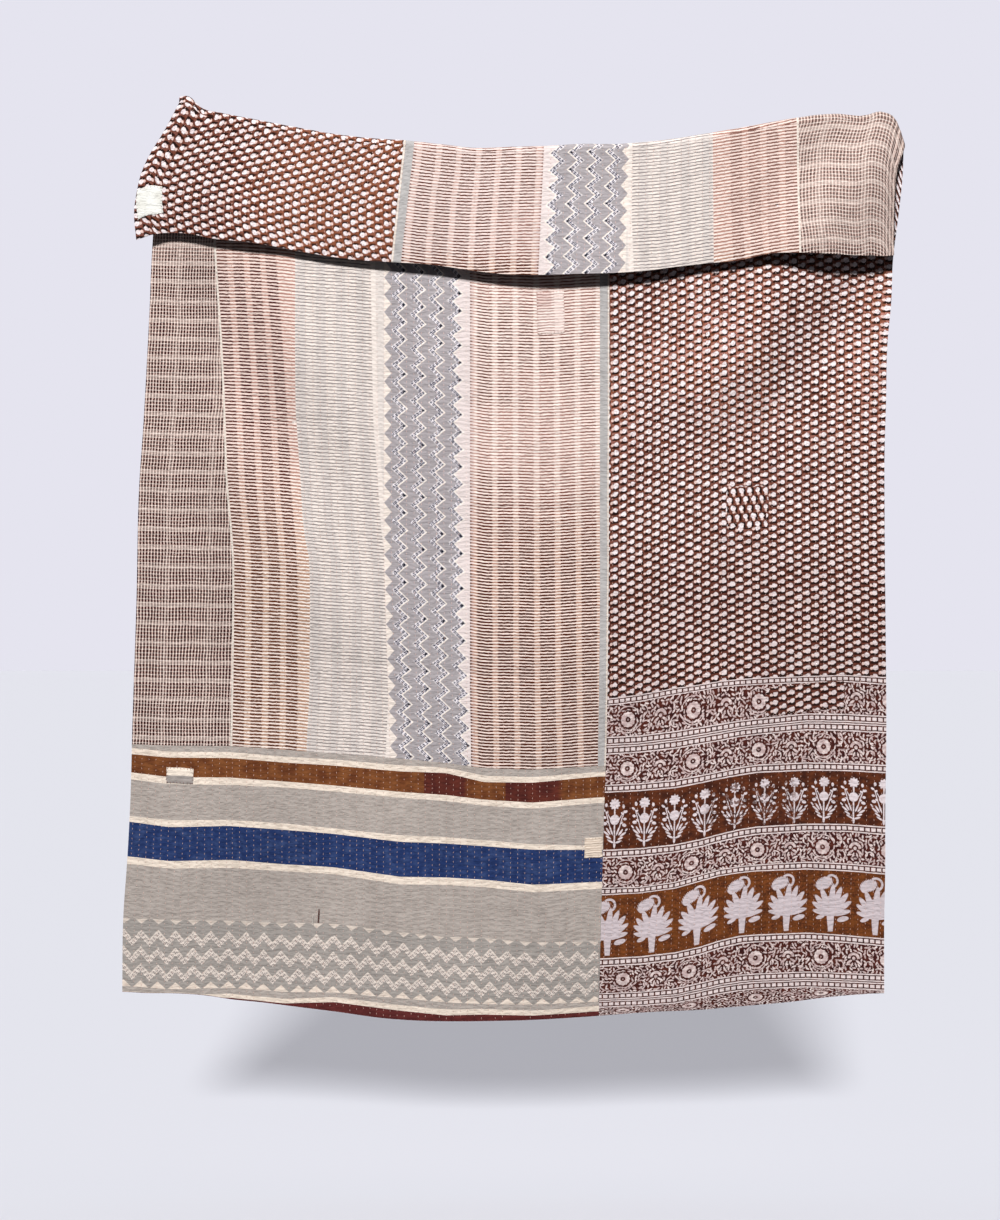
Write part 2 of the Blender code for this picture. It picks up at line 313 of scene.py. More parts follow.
stripedFlapLines = dict(
    heights=(0.058, -0.246),
    lines=(
        (-0.203, -0.235),
        (-0.199, -0.231),
        (-0.181, -0.215),
        (0.0745, 0.0606),
        (0.245, 0.234),
        (0.4086, 0.4106),
        (0.576, 0.579),
        (0.580, 0.583),
    ),
    zones=("whiteLine", "greyStrip", "stripesB", "zigzag", "pale", "stripesA", "whiteLine",
           "check"),
    columns=(1, 2, 36, 23, 24, 22, 1, 27),
)
# heights of the lines between the bands, at stations across, from the hem upwards
stripedBands = dict(
    stations=(-0.772, -0.678, -0.560, -0.448, -0.348, -0.216, -0.124, -0.048, 0.050, 0.180),
    lines=(
        (-1.704, -1.708, -1.702, -1.715, -1.712, -1.728, -1.737, -1.735, -1.737, -1.729),
        (-1.692, -1.696, -1.694, -1.706, -1.702, -1.717, -1.725, -1.724, -1.727, -1.718),
        (-1.678, -1.684, -1.682, -1.692, -1.693, -1.703, -1.711, -1.714, -1.715, -1.710),
        (-1.543, -1.545, -1.548, -1.554, -1.555, -1.571, -1.580, -1.582, -1.590, -1.589),
        (-1.433, -1.443, -1.442, -1.450, -1.456, -1.475, -1.476, -1.480, -1.490, -1.484),
        (-1.418, -1.428, -1.426, -1.436, -1.442, -1.460, -1.461, -1.465, -1.475, -1.470),
        (-1.348, -1.360, -1.358, -1.367, -1.375, -1.390, -1.393, -1.398, -1.405, -1.406),
        (-1.337, -1.346, -1.346, -1.354, -1.364, -1.377, -1.380, -1.386, -1.394, -1.398),
        (-1.263, -1.274, -1.276, -1.282, -1.290, -1.302, -1.308, -1.317, -1.323, -1.312),
        (-1.249, -1.260, -1.261, -1.270, -1.278, -1.290, -1.296, -1.305, -1.311, -1.301),
        (-1.213, -1.221, -1.222, -1.232, -1.238, -1.249, -1.252, -1.270, -1.271, -1.259),
        (-1.201, -1.209, -1.210, -1.220, -1.226, -1.237, -1.241, -1.257, -1.260, -1.250),
        (-1.194, -1.197, -1.198, -1.206, -1.214, -1.223, -1.232, -1.242, -1.245, -1.238),
    ),
    fromHem=(0.017, 0.026, 0.040, 0.178, 0.282, 0.296, 0.365, 0.378, 0.450, 0.462, 0.500,
             0.512, 0.526),
    zones=("hemRed", "creamLine", "greyBand", "lowZigzag", "greyBand", "creamLine", "navyBand",
           "creamLine", "greyBand", "creamLine", "brownBand", "creamLine", "greyBand",
           "panels"),
    rows=(5, 3, 4, 42, 32, 4, 21, 4, 22, 4, 12, 4, 4),
)
printBands = dict(
    stations=(0.196, 0.264, 0.334, 0.384, 0.424, 0.464, 0.498, 0.598, 0.678, 0.754),
    lines=(
        (-1.722, -1.720, -1.714, -1.703, -1.694, -1.688, -1.685, -1.682, -1.686, -1.689),
        (-1.693, -1.691, -1.683, -1.671, -1.661, -1.655, -1.653, -1.650, -1.654, -1.656),
        (-1.640, -1.637, -1.628, -1.616, -1.603, -1.594, -1.591, -1.588, -1.594, -1.600),
        (-1.623, -1.620, -1.611, -1.599, -1.586, -1.577, -1.575, -1.572, -1.578, -1.584),
        (-1.497, -1.494, -1.484, -1.469, -1.458, -1.452, -1.449, -1.446, -1.450, -1.456),
        (-1.482, -1.481, -1.470, -1.455, -1.444, -1.438, -1.435, -1.430, -1.434, -1.440),
        (-1.423, -1.420, -1.412, -1.401, -1.390, -1.381, -1.376, -1.370, -1.371, -1.377),
        (-1.406, -1.403, -1.395, -1.384, -1.373, -1.364, -1.359, -1.354, -1.355, -1.360),
        (-1.292, -1.289, -1.283, -1.273, -1.264, -1.257, -1.252, -1.248, -1.249, -1.253),
        (-1.276, -1.273, -1.266, -1.256, -1.248, -1.240, -1.235, -1.231, -1.233, -1.236),
        (-1.216, -1.212, -1.204, -1.195, -1.188, -1.180, -1.176, -1.167, -1.169, -1.173),
        (-1.180, -1.177, -1.168, -1.160, -1.153, -1.147, -1.143, -1.133, -1.134, -1.138),
        (-1.118, -1.110, -1.096, -1.088, -1.081, -1.078, -1.076, -1.072, -1.070, -1.076),
        (-1.104, -1.095, -1.082, -1.075, -1.068, -1.064, -1.062, -1.058, -1.056, -1.060),
    ),
    fromHem=(0.030, 0.063, 0.124, 0.141, 0.266, 0.280, 0.337, 0.354, 0.461, 0.478, 0.538,
             0.571, 0.640, 0.654),
    zones=("scroll", "doubleBeads", "scroll", "beads", "bigFlowers", "beads", "scroll",
           "beads", "smallFlowers", "beads", "scroll", "doubleBeads", "scroll", "beads",
           "dots"),
    rows=(9, 10, 19, 5, 38, 4, 17, 5, 33, 5, 18, 10, 21, 4),
)
# Heights that a band's pattern is drawn to, in metres: it stretches to the band's real height.
drawnHeights = dict(hemRed=0.018, creamLine=0.012, lowZigzag=0.138, navyBand=0.070,
                    brownBand=0.038, scroll=0.060, doubleBeads=0.034, beads=0.016,
                    bigFlowers=0.126, smallFlowers=0.110)
drawnWidths = dict(whiteLine=0.004, greyStrip=0.016)

# A cloth has an outer face in full relief, a plainer inner face, and a rim between them.
relief = dict(
    stitchPitch=0.0098,     # from one stitch to the next
    rowSlip=0.3,            # of a pitch, by which neighbouring rows may be out of step
    swell=0.00018,          # of the ripples between stitches
    rowDip=0.0002,          # along a row of stitches
    body=0.00145,           # mean height over the quilt's middle
    rimHeight=0.0009,
    rimWidth=0.006,
    wander=0.00022,         # of the loose cloth between stitches
    innerStep=4,            # the inner face has every fourth column and row
    sharpAngle=60,
)


def addObject(name, data):
    made = bpy.data.objects.new(name, data)
    bpy.context.collection.objects.link(made)
    return made


# How many stitches a place is from the hem: neighbouring rows nearly keep step.
def stitchTurns(u, v):
    slip = relief["rowSlip"]
    rowShift = np.random.default_rng(3).uniform(-slip, slip, len(u))[:, None]
    drift = (0.90 * np.sin(5.1 * u + 1.3 * v + 0.4) + 0.50 * np.sin(17.0 * u - 3.0 * v + 1.0)
             + 0.30 * np.sin(43.0 * u + 7.0 * v + 2.0) + 0.20 * np.sin(97.0 * u - 11.0 * v)
             + 0.12 * np.sin(29.0 * v + 61.0 * u))
    return v / relief["stitchPitch"] + drift + rowShift


def pacedPlaces(counts):
    zone, part = [], []
    for k, count in enumerate(counts):
        zone += [k] * count
        part += [step / count for step in range(count)]
    return np.array(zone + [len(counts) - 1]), np.array(part + [1.0])


# Where line k of a table and the next one are, at some places.
def linesAt(table, k, samples, places):
    return np.interp(places, samples, table[k]), np.interp(places, samples, table[k + 1])


# The (share, along) of every point of a grid whose lines follow both tables of lines.
def clothPlaces(columns, columnCounts, rows, rowCounts, rounds=3):
    zoneX, partX = pacedPlaces(columnCounts)
    zoneY, partY = pacedPlaces(rowCounts)
    share = np.repeat(np.linspace(columns[0][0], columns[-1][0], len(zoneX))[:, None],
                      len(zoneY), axis=1)
    along = np.zeros_like(share)
    for _ in range(rounds):
        for j, (k, part) in enumerate(zip(zoneY, partY)):
            low, high = linesAt(rows, k, shareSamples, share[:, j])
            along[:, j] = low + (high - low) * part
        for i, (k, part) in enumerate(zip(zoneX, partX)):
            low, high = linesAt(columns, k, alongSamples, along[i])
            share[i] = low + (high - low) * part
    return share, along


# Height over the quilt's middle: ripples between stitches, pulled unevenly, and loose cloth,
# both from waves across (u) and up (v) the cloth. It thins towards the trimmed edges.
def outerHeight(share, along, u, v, turns, trimmed, creases):
    onRow = np.arange(share.shape[0])[:, None] % 2
    pulled = 0.72 + 0.28 * np.sin(19 * u + 5 * np.sin(7 * v)) * np.sin(31 * v + 4 * np.sin(11 * u))
    ripple = np.cos(2 * math.pi * turns) * (1 - 0.2 * onRow) * pulled
    loose = (np.sin(61 * u + 9 * np.sin(13 * v)) * np.sin(37 * v + 5 * np.sin(17 * u))
             + 0.6 * np.sin(131 * u + 4 * v) * np.sin(83 * v - 29 * u))
    height = (relief["body"] + relief["swell"] * ripple - relief["rowDip"] * onRow
              + relief["wander"] * loose + creases)
    inset = np.minimum(v, clothRun(share, 3.0) - v)
    for side in trimmed:
        inset = np.minimum(inset, abs(u - side * quilt["width"]))
    fade = np.clip(inset / relief["rimWidth"], 0, 1) ** 0.6
    return relief["rimHeight"] + (height - relief["rimHeight"]) * fade


# A closed flat box of cells, its outer face at 0 and its inner one at -1, with every point's
# place in it.
def clothCells(name, acrossCount, upCount):
    bm = bmesh.new()
    for side, coarse in ((0, 1), (1, relief["innerStep"])):
        made = bmesh.ops.create_grid(bm, x_segments=acrossCount // coarse,
                                     y_segments=upCount // coarse, size=0.5)["verts"]
        bmesh.ops.translate(bm, verts=made, vec=(0, 0, -side))
    rims = [[e for e in bm.edges if all(abs(v.co[axis] - end) < 1e-6 for v in e.verts)]
            for axis in (0, 1) for end in (-0.5, 0.5)]
    for edges in rims:
        bmesh.ops.bridge_loops(bm, edges=edges)
    bmesh.ops.recalc_face_normals(bm, faces=bm.faces)
    mesh = bpy.data.meshes.new(name)
    bm.to_mesh(mesh)
    bm.free()
    plan = np.empty(len(mesh.vertices) * 3, np.float32)
    mesh.vertices.foreach_get("co", plan)
    return mesh, plan.reshape(-1, 3)


# Puts a mesh's points at heights over the quilt's middle, towards its front (1) or back (-1).
def liftPoints(mesh, share, along, lift, toward):
    places = middle(share, along) + toward * lift[:, None] * frontNormal(share, along)
    mesh.vertices.foreach_set("co", places.ravel().astype(np.float32))


# Finishes a mesh and sets it in the part, in place of one of its nodes.
def fitPiece(name, mesh, piece):
    mesh.shade_smooth()
    mesh.set_sharp_from_angle(angle=math.radians(relief["sharpAngle"]))
    mesh.update()
    made = addObject(name, mesh)
    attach(made, "root")
    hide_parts(piece["node"])
    return made


def cornerPoints(mesh):
    corner = np.empty(len(mesh.loops), np.int32)
    mesh.loops.foreach_get("vertex_index", corner)
    return corner


def setMap(mesh, name, u, v):
    layer = mesh.uv_layers.new(name=name)
    layer.data.foreach_set("uv", np.stack((u, v), axis=-1).ravel().astype(np.float32))


# Each face's zone and each corner's, from where the middle of the face's corners is.
def zonesOf(mesh, corners, counts):
    starts, totals = np.empty((2, len(mesh.polygons)), np.int32)
    mesh.polygons.foreach_get("loop_start", starts)
    mesh.polygons.foreach_get("loop_total", totals)
    ends = np.cumsum(counts)
    means = np.add.reduceat(corners, starts) / totals
    zone = np.minimum(np.searchsorted(ends, means, side="right"), len(ends) - 1)
    return zone, np.repeat(zone, totals)


# The map that patterns are drawn on: metres from a zone's first lines. A zone with a drawn
# width or height is stretched from line to line.
def drawnAcross(share, along, zoneX, columns, zones, mirrored):
    drawn = np.zeros(len(share))
    for k, zone in enumerate(zones):
        here = zoneX == k
        low, high = linesAt(columns, k, alongSamples, along[here])
        place = high - share[here] if mirrored else share[here] - low
        width = drawnWidths.get(zone)
        drawn[here] = place / (high - low) * width if width else place * quilt["width"]
    return drawn


def drawnUp(share, along, zoneY, rows, zones):
    drawn = np.zeros(len(share))
    for k, zone in enumerate(zones):
        here = zoneY == k
        low, high = linesAt(rows, k, shareSamples, share[here])
        if zone in drawnHeights:
            drawn[here] = (along[here] - low) / (high - low) * drawnHeights[zone]
        else:
            drawn[here] = clothRun(share[here], along[here]) - clothRun(share[here], low)
    return drawn


# Above its bands each cloth is one length, in these parts up to the flap's free edge.
upperRows = dict(
    front=dict(levels=(bodyTop, 1.0, 2.0, 3.0), counts=(32, 28, 48)),
    back=dict(levels=(1.0, 2.0, 3.0), counts=(28, 80)),
)


def clothRows(cloth):
    bands, upper = cloth["bands"], upperRows[cloth["face"]]
    if cloth["face"] == "front":
        table = rowTable(bands["stations"], bands["lines"])
    else:
        table = evenRowTable(bands["fromHem"])
    zones = bands["zones"] + bands["zones"][-1:] * len(upper["counts"])
    counts = bands["rows"] + (cloth["mainRows"],) + upper["counts"]
    return table + levelRows(*upper["levels"]), zones, counts


def makeCloth(name, cloth):
    isBack = cloth["face"] == "back"
    columns, columnZones, columnCounts = cloth["lines"], cloth["zones"], cloth["columns"]
    rows, rowZones, rowCounts = clothRows(cloth)
    share, along = clothPlaces(columns, columnCounts, rows, rowCounts)
    u, v = share * quilt["width"], clothRun(share, along)
    turns = stitchTurns(u, v)
    x, _, z = np.moveaxis(middle(share, along), -1, 0)
    creases = (rise(flapCreases, x, z) * (along > 2) if isBack
               else rise(bodyCreases, x, z) * (along < 1))
    height = outerHeight(share, along, u, v, turns, cloth["trimmed"], creases)
    acrossCount, upCount = sum(columnCounts), sum(rowCounts)
    mesh, plan = clothCells(name, acrossCount, upCount)
    i = np.rint((plan[:, 0] + 0.5) * acrossCount).astype(int)
    j = np.rint((plan[:, 1] + 0.5) * upCount).astype(int)
    lift = np.where(plan[:, 2] < -0.5, quilt["lining"], height[i, j])
    toward = -1 if isBack else 1
    liftPoints(mesh, share[i, j], along[i, j], lift, toward)
    if isBack:
        mesh.flip_normals()

    corner = cornerPoints(mesh)
    faceX, zoneX = zonesOf(mesh, i[corner], columnCounts)
    faceY, zoneY = zonesOf(mesh, j[corner], rowCounts)
    spots = i[corner], j[corner]
    drawU = drawnAcross(share[spots], along[spots], zoneX, columns, columnZones, isBack)
    drawV = drawnUp(share[spots], along[spots], zoneY, rows, rowZones)
    fromEdge = (1 - share[spots] if isBack else share[spots]) * quilt["width"]
    inPanels = np.array([zone == "panels" for zone in rowZones])
    setMap(mesh, "clothPlan", np.where(inPanels[zoneY], drawU, fromEdge), drawV)
    setMap(mesh, "stitchPlan", spots[0] / 2, turns[spots])

    layout = [columnZones if zone == "panels" else [zone] * len(columnZones)
              for zone in rowZones]
    used = list(dict.fromkeys(zone for row in layout for zone in row))
    for zone in used:
        mesh.materials.append(clothMaterials[zone])
    index = np.array([[used.index(zone) for zone in row] for row in layout], np.int32)
    mesh.polygons.foreach_set("material_index", index[faceY, faceX])
    grid = dict(share=share, along=along, turns=turns, height=height, toward=toward)
    return fitPiece(name, mesh, cloth), grid


# Materials. A field is a number, vector or colour inside one, so that a pattern reads as a sum.

def setInputs(node, inputs):
    for place, value in inputs.items():
        if isinstance(value, field):
            value.tree.links.new(value.socket, node.inputs[place])
        else:
            node.inputs[place].default_value = value


def addNode(tree, kind, inputs, **settings):
    node = tree.nodes.new("ShaderNode" + kind)
    for name, value in settings.items():
        setattr(node, name, value)
    setInputs(node, inputs)
    return node


class field:
    def __init__(self, tree, socket):
        self.tree = tree
        self.socket = socket

    # a node that reads this field at its first input, and gives its first output
    def through(self, kind, inputs, output=0, **settings):
        node = addNode(self.tree, kind, {0: self, **inputs}, **settings)
        return field(self.tree, node.outputs[output])

    def math(self, operation, *others):
        return self.through("Math", dict(enumerate(others, 1)), operation=operation)

    def __rsub__(self, other):
        return self.math("MULTIPLY_ADD", -1.0, other)

    def __neg__(self):
        return self * -1.0

    def most(self, *others):
        highest = self
        for other in others:
            highest = highest.math("MAXIMUM", other)
        return highest

    # masks that go softly from 0 to 1
    def above(self, edge, soft):
        ends = {"From Min": edge - soft / 2, "From Max": edge + soft / 2}
        return self.through("MapRange", ends, interpolation_type="SMOOTHSTEP")

    def below(self, edge, soft):
        return 1.0 - self.above(edge, soft)

    def between(self, low, high, soft):
        return self.above(low, soft) * self.below(high, soft)

    # distance from the nearest of the places that repeat at a pitch, from -pitch/2 to pitch/2
    def repeated(self, pitch, start=0.0):
        return (((self - start) / pitch + 0.5).math("FRACT") - 0.5) * pitch

    def count(self, pitch, start=0.0):
        return ((self - start) / pitch + 0.5).math("FLOOR")

    def axis(self, name):
        return self.through("SeparateXYZ", {}, name)

    def stretched(self, *scale):
        return self.through("VectorMath", {1: scale}, operation="MULTIPLY")

    def noise(self, scale, detail=2.0):
        return self.through("TexNoise", {"Scale": scale, "Detail": detail}, "Fac")

    # cloudy patches of 0 to 1
    def cloudy(self, scale, detail, edge, soft):
        return self.noise(scale, detail).above(edge, soft)


for name, operation in dict(
        __add__="ADD", __radd__="ADD", __sub__="SUBTRACT", __mul__="MULTIPLY",
        __rmul__="MULTIPLY", __truediv__="DIVIDE", __abs__="ABSOLUTE", sin="SINE", cos="COSINE",
        least="MINIMUM").items():
    setattr(field, name, functools.partialmethod(field.math, operation))

studioGain = 1.30       # how bright the studio makes a matt white cloth; shades are divided by it


def shade(colour):
    parts = [int(colour[k:k + 2], 16) / 255 for k in (1, 3, 5)]
    linear = [p / 12.92 if p <= 0.04045 else ((p + 0.055) / 1.055) ** 2.4 for p in parts]
    return tuple(part / studioGain for part in linear) + (1.0,)


def mixed(first, second, amount):
    colours = {place: shade(colour) if isinstance(colour, str) else colour
               for place, colour in ((6, first), (7, second))}     # its two colour inputs
    node = addNode(amount.tree, "Mix", {0: amount, **colours}, data_type="RGBA")
    return field(amount.tree, node.outputs[2])


# Lays colours of a look over a ground, each by its own mask and in the order of the masks.
def painted(colour, look, **masks):
    for name, mask in masks.items():
        colour = mixed(colour, look[name], mask)
    return colour


def flatVector(u, v):
    return u.through("CombineXYZ", {1: v})


# 0 at the middle of an ellipse and 1 on its rim.
def ellipse(u, v, centre, size, turn=0.0):
    fitted = flatVector(u, v).through("Mapping", {
        "Location": (*centre, 0), "Rotation": (0, 0, math.radians(turn)), "Scale": (*size, 1)},
        vector_type="TEXTURE")
    return fitted.through("VectorMath", {}, "Value", operation="LENGTH")


def distance(u, v, centre):
    return ellipse(u, v, centre, (1, 1))


def disc(u, v, centre, size, turn, soft):
    return ellipse(u, v, centre, size, turn).below(1.0, soft)


def objectPlace(tree):
    return field(tree, tree.nodes.new("ShaderNodeTexCoord").outputs["Object"])


def mapParts(tree, name):
    node = addNode(tree, "UVMap", {}, uv_map=name)
    uv = field(tree, node.outputs["UV"])
    return uv.axis("X"), uv.axis("Y")


clothLook = dict(
    finish={"Roughness": 0.92, "Specular IOR Level": 0.12, "Sheen Weight": 0.06,
            "Sheen Roughness": 0.5},
    blotch=0.20,            # worn and faded patches
    mottle=0.14,            # as fine as the yarn
    foldShade=0.10,             # painted shade of hanging folds, faint and in long upright streaks
    # the next three darken the colour where the bump sinks, as painted shade; ripple is the bump's
    # own
    shadedCrinkle=0.20, pucker=0.13, trough=0.05, ripple=0.20,
    bump=0.0010, bumpStrength=0.8,
    wobble=1.4,             # mm by which the printed lines waver
)


# 1 give or take half an amount, as a value goes from 0 to 1.
def swing(name, value):
    return (1.0 - clothLook[name] / 2) + clothLook[name] * value


def clothMaterial(name, pattern, quilted=True):
    material = bpy.data.materials.new(name)
    material.use_nodes = True
    tree = material.node_tree
    place = objectPlace(tree)
    if quilted:
        u, v = mapParts(tree, "clothPlan")
        wobble = (place.noise(90, 1) - 0.5) * clothLook["wobble"]
        colour = pattern(u * 1000 + wobble, v * 1000 - wobble, place)
    else:
        colour = pattern(place)
    shadedCrinkle = place.stretched(0.22, 0.22, 1.0).noise(230, 2)
    pucker = place.stretched(0.16, 0.16, 1.0).cloudy(520, 1, 0.60, 0.10)
    tone = swing("blotch", place.noise(5, 2)) * swing("mottle", place.noise(420, 2))
    # painted shade of hanging folds, in long upright streaks
    tone = tone * swing("foldShade", place.stretched(1.0, 1.0, 0.12).noise(9, 3))
    # painted shade: the colour darkens where the crinkles and puckers sink in the bump below
    tone = tone * swing("shadedCrinkle", shadedCrinkle) * (1.0 - pucker * clothLook["pucker"])
    height = place.noise(650, 2) * 0.25 + place.noise(120, 2) * 0.4 + shadedCrinkle * 0.6 - pucker * 0.4
    if quilted:
        _, turns = mapParts(tree, "stitchPlan")
        ripple = (turns * (2 * math.pi)).cos()
        # painted shade in the troughs between stitches, where the ripples sink
        tone = tone * ((1.0 - clothLook["trough"] / 2) + ripple * (clothLook["trough"] / 2))
        height = height + ripple * clothLook["ripple"]
    colour = colour.through("VectorMath", {"Scale": tone}, operation="SCALE")
    bump = addNode(tree, "Bump", {"Height": height, "Distance": clothLook["bump"],
                                  "Strength": clothLook["bumpStrength"]})
    setInputs(tree.nodes["Principled BSDF"], {
        "Base Color": colour, "Normal": field(tree, bump.outputs["Normal"]),
        **clothLook["finish"]})
    return material


# Patterns: u runs across and v upwards, in millimetres from the zone's own corner. Each gives
# a colour, from given colours and masks of 0 to 1.

# 1 near the fold and on the flap, and 0 on the hanging part. The patterns change their colours by
# it; on the second brown stripes that is painted shade against the brighter light on the flap.
def flapShare(place):
    return place.axis("Z").above(-0.225, 0.07)


checkCloth = dict(pitch=6.2, rowPitch=7.2, bandPitch=38, columnPitch=86,
                  ink="#300d0d", ground="#cfb2a7", worn="#ebdcd2")


def checkPattern(u, v, place):
    patchy = place.noise(34, 2)
    wild = place.noise(160, 1)
    sway = place.noise(18, 1) * 6 - 3
    rowPitch = checkCloth["rowPitch"]
    tall = abs((u + sway).repeated(checkCloth["pitch"])).below(1.9, 1.0)
    broken = 1.0 - abs((v + sway).repeated(rowPitch, rowPitch / 2)).below(0.9, 1.2) * 0.55
    band = abs((v + sway).repeated(checkCloth["bandPitch"], 15)).below(4.5, 7) * 0.75
    column = abs(u.repeated(checkCloth["columnPitch"], 60)).below(5, 8) * 0.45
    lighter = band.most(column) * 0.6
    onFlap = flapShare(place)
    fresh = 1.0 + v.below(450, 300) * (1.0 - onFlap) * 0.12 - onFlap * 0.28
    inkedShare = tall * broken * (1.0 - lighter) * (0.68 + patchy * 0.42 + wild * 0.42) * fresh
    between = abs(v.repeated(rowPitch, rowPitch / 2)).below(1.0, 1.6)
    ground = mixed(checkCloth["ground"], checkCloth["worn"], between.most(lighter))
    return mixed(ground, checkCloth["ink"], inkedShare)


# Fine rows across, dark where the block was inked and faint between its columns.
def rows(v, u, pitch, thickness, ragged):
    bend = (u * 0.045).sin() * 0.5 + ragged * 2.4
    return abs((v + bend).repeated(pitch)).below(thickness / 2, 0.9)


# mm by which the ends of a stripe's rows are out of line
def raggedEdge(place):
    return place.noise(330, 0) * 5 - 2.5


# Colours in pairs are those of the upper cloth and of its better kept lower part.
stripesA = dict(pitch=35.5, half=11.5, rowPitch=6.7, end=137, ink=("#461410", "#55270f"),
                ground=("#e8d5cc", "#f0e3da"), thin=("#996555", "#9d6c4c"), stained="#d6b9ae")
stripesB = dict(pitch=42.4, half=15.2, rowPitch=6.2, ink=("#763c2e", "#4a1e0c"),
                ground=("#f1e2da", "#ebdad0"), thin=("#b38d80", "#9f735f"), stained="#e6cdc4",
                # faded: a darker ground, used on the flap as painted shade
                faded="#dccac5")
paleCloth = dict(pitch=42, half=10, rowPitch=6.6, end=160, ink="#857c7b", ground="#e3d7cf",
                 stained="#cec5c0")


def stripesAPattern(u, v, place):
    ragged = place.noise(150, 2) - 0.5
    onFlap = flapShare(place)
    low = v.below(480, 400) * (1.0 - onFlap)
    half = stripesA["half"]
    column = (u + raggedEdge(place)).repeated(stripesA["pitch"], 11).between(-half, half, 2.4)
    column = column * u.below(stripesA["end"], 2)
    line = rows(v, u, stripesA["rowPitch"], 3.1 + low * 0.5, ragged)
    patchy = 0.55 + place.noise(24, 2) * 0.8 - onFlap * 0.42
    ground = mixed(mixed(*stripesA["ground"], low), stripesA["stained"], column * 0.3)
    ground = mixed(ground, mixed(*stripesA["thin"], low), line * 0.86)
    return mixed(ground, mixed(*stripesA["ink"], low), line * column * patchy)


def palePattern(u, v, place):
    ragged = place.noise(120, 2) - 0.5
    column = abs(u.repeated(paleCloth["pitch"], 12)).below(paleCloth["half"], 3)
    line = rows(v, u, paleCloth["rowPitch"], 2.1, ragged) * u.below(paleCloth["end"], 2)
    ground = mixed(paleCloth["ground"], paleCloth["stained"], column * 0.6)
    return mixed(ground, paleCloth["ink"], line * (0.55 + place.noise(26, 2) * 0.8))


def stripesBPattern(u, v, place):
    ragged = place.noise(130, 2) - 0.5
    column = abs((u + raggedEdge(place)).repeated(stripesB["pitch"], 30))
    column = column.below(stripesB["half"], 3)
    onFlap = flapShare(place)
    low = v.below(520, 300) * (1.0 - onFlap)
    line = rows(v, u, stripesB["rowPitch"], 2.4 + low * 0.8, ragged)
    strong = place.stretched(0.5, 1.0, 1.0).cloudy(4.2, 2, 0.50, 0.16)
    patchy = 0.47 + place.noise(30, 2) * 0.5 + strong * 0.3 + low * 0.55
    ground = mixed(mixed(*stripesB["ground"], low), stripesB["stained"], column * 0.45)
    # a darker ground along the first 8 mm, and on the flap as painted shade against the brighter
    # light there
    ground = mixed(ground, stripesB["faded"], u.below(8, 6).most(onFlap * 0.7))
    ground = mixed(ground, mixed(*stripesB["thin"], low), line * 0.92)
    ink = mixed(*stripesB["ink"], low.most(strong * 0.8))
    return mixed(ground, ink, line * column * patchy)


def saw(v, pitch, start):
    return abs(v.repeated(pitch, start)) * (2 / pitch)


# Dark specks in rows along a pale zigzag band, finer where the block printed badly.
def speckles(off, run, place, reach, least, pitch, rowPitch=4.6):
    inside = abs(off).below(reach, 1.0)
    across = off.repeated(rowPitch, rowPitch / 2)
    shifted = run + off.count(rowPitch, rowPitch / 2) * (pitch / 2)
    size = least + place.noise(170, 1) * 1.1
    speck = ellipse(across, shifted.repeated(pitch), (0, 0), (1.75, 1.9))
    return inside, inside * (speck / size).below(1.0, 0.5)


# Three zigzag bands that run upwards, the first one's middle at `first`.
zigzag = dict(pitch=34.7, depth=20.0, bandPitch=38.6, first=21.0, reach=9,
              grey=("#b1aaac", "#928b8d"), before="#e7dad0", past="#dccecb", band="#eee7eb",
              speck="#1c1e38", shadow="#e9dfd8", outline="#f3e7da", peak="#14141f")
# Three that run across.
lowZigzag = dict(pitch=34.8, depth=19.2, bandPitch=34.4, first=30, last=99, reach=9, width=948,
                 grey=("#a69f99", "#938c87"), band="#ddd0c6", speck="#625a5d",
                 outline="#e6d8cc", teeth="#e0d0c2", hanging="#dccdc0", end="#e9dccd")


def zigzagPattern(u, v, place):
    pitch, first = zigzag["pitch"], zigzag["first"]
    slope = saw(v, pitch, 23.2)
    streaks = place.stretched(0.2, 0.2, 1.0).noise(300, 1)
    grey = mixed(*zigzag["grey"], streaks)
    colour = mixed(zigzag["before"], grey, (u - slope * 15.0).above(0.0, 1.4))
    bands = u - slope * zigzag["depth"]
    nearest = bands.repeated(zigzag["bandPitch"], first)
    last = first + 3 * zigzag["bandPitch"]
    inZone = bands.between(zigzag["reach"], last + zigzag["reach"], 1)
    inside, speck = speckles(nearest, v, place, 7.0, 0.56, 5.0)
    left = (-nearest).between(5.8, 7.4, 1.0) * place.cloudy(60, 1, 0.47, 0.2)
    peak = disc(nearest, v.repeated(pitch, 5.8), (1.5, 0), (2.6, 2.8), 0, 0.4)
    return painted(colour, zigzag, past=bands.above(last + 6.8, 1.4), band=inside * inZone,
                   speck=speck * inZone * 0.95, shadow=left * inZone * 0.7,
                   outline=nearest.between(5.8, 8.4, 1.0) * inZone,
                   peak=peak * place.cloudy(38, 0, 0.50, 0.04) * inZone)


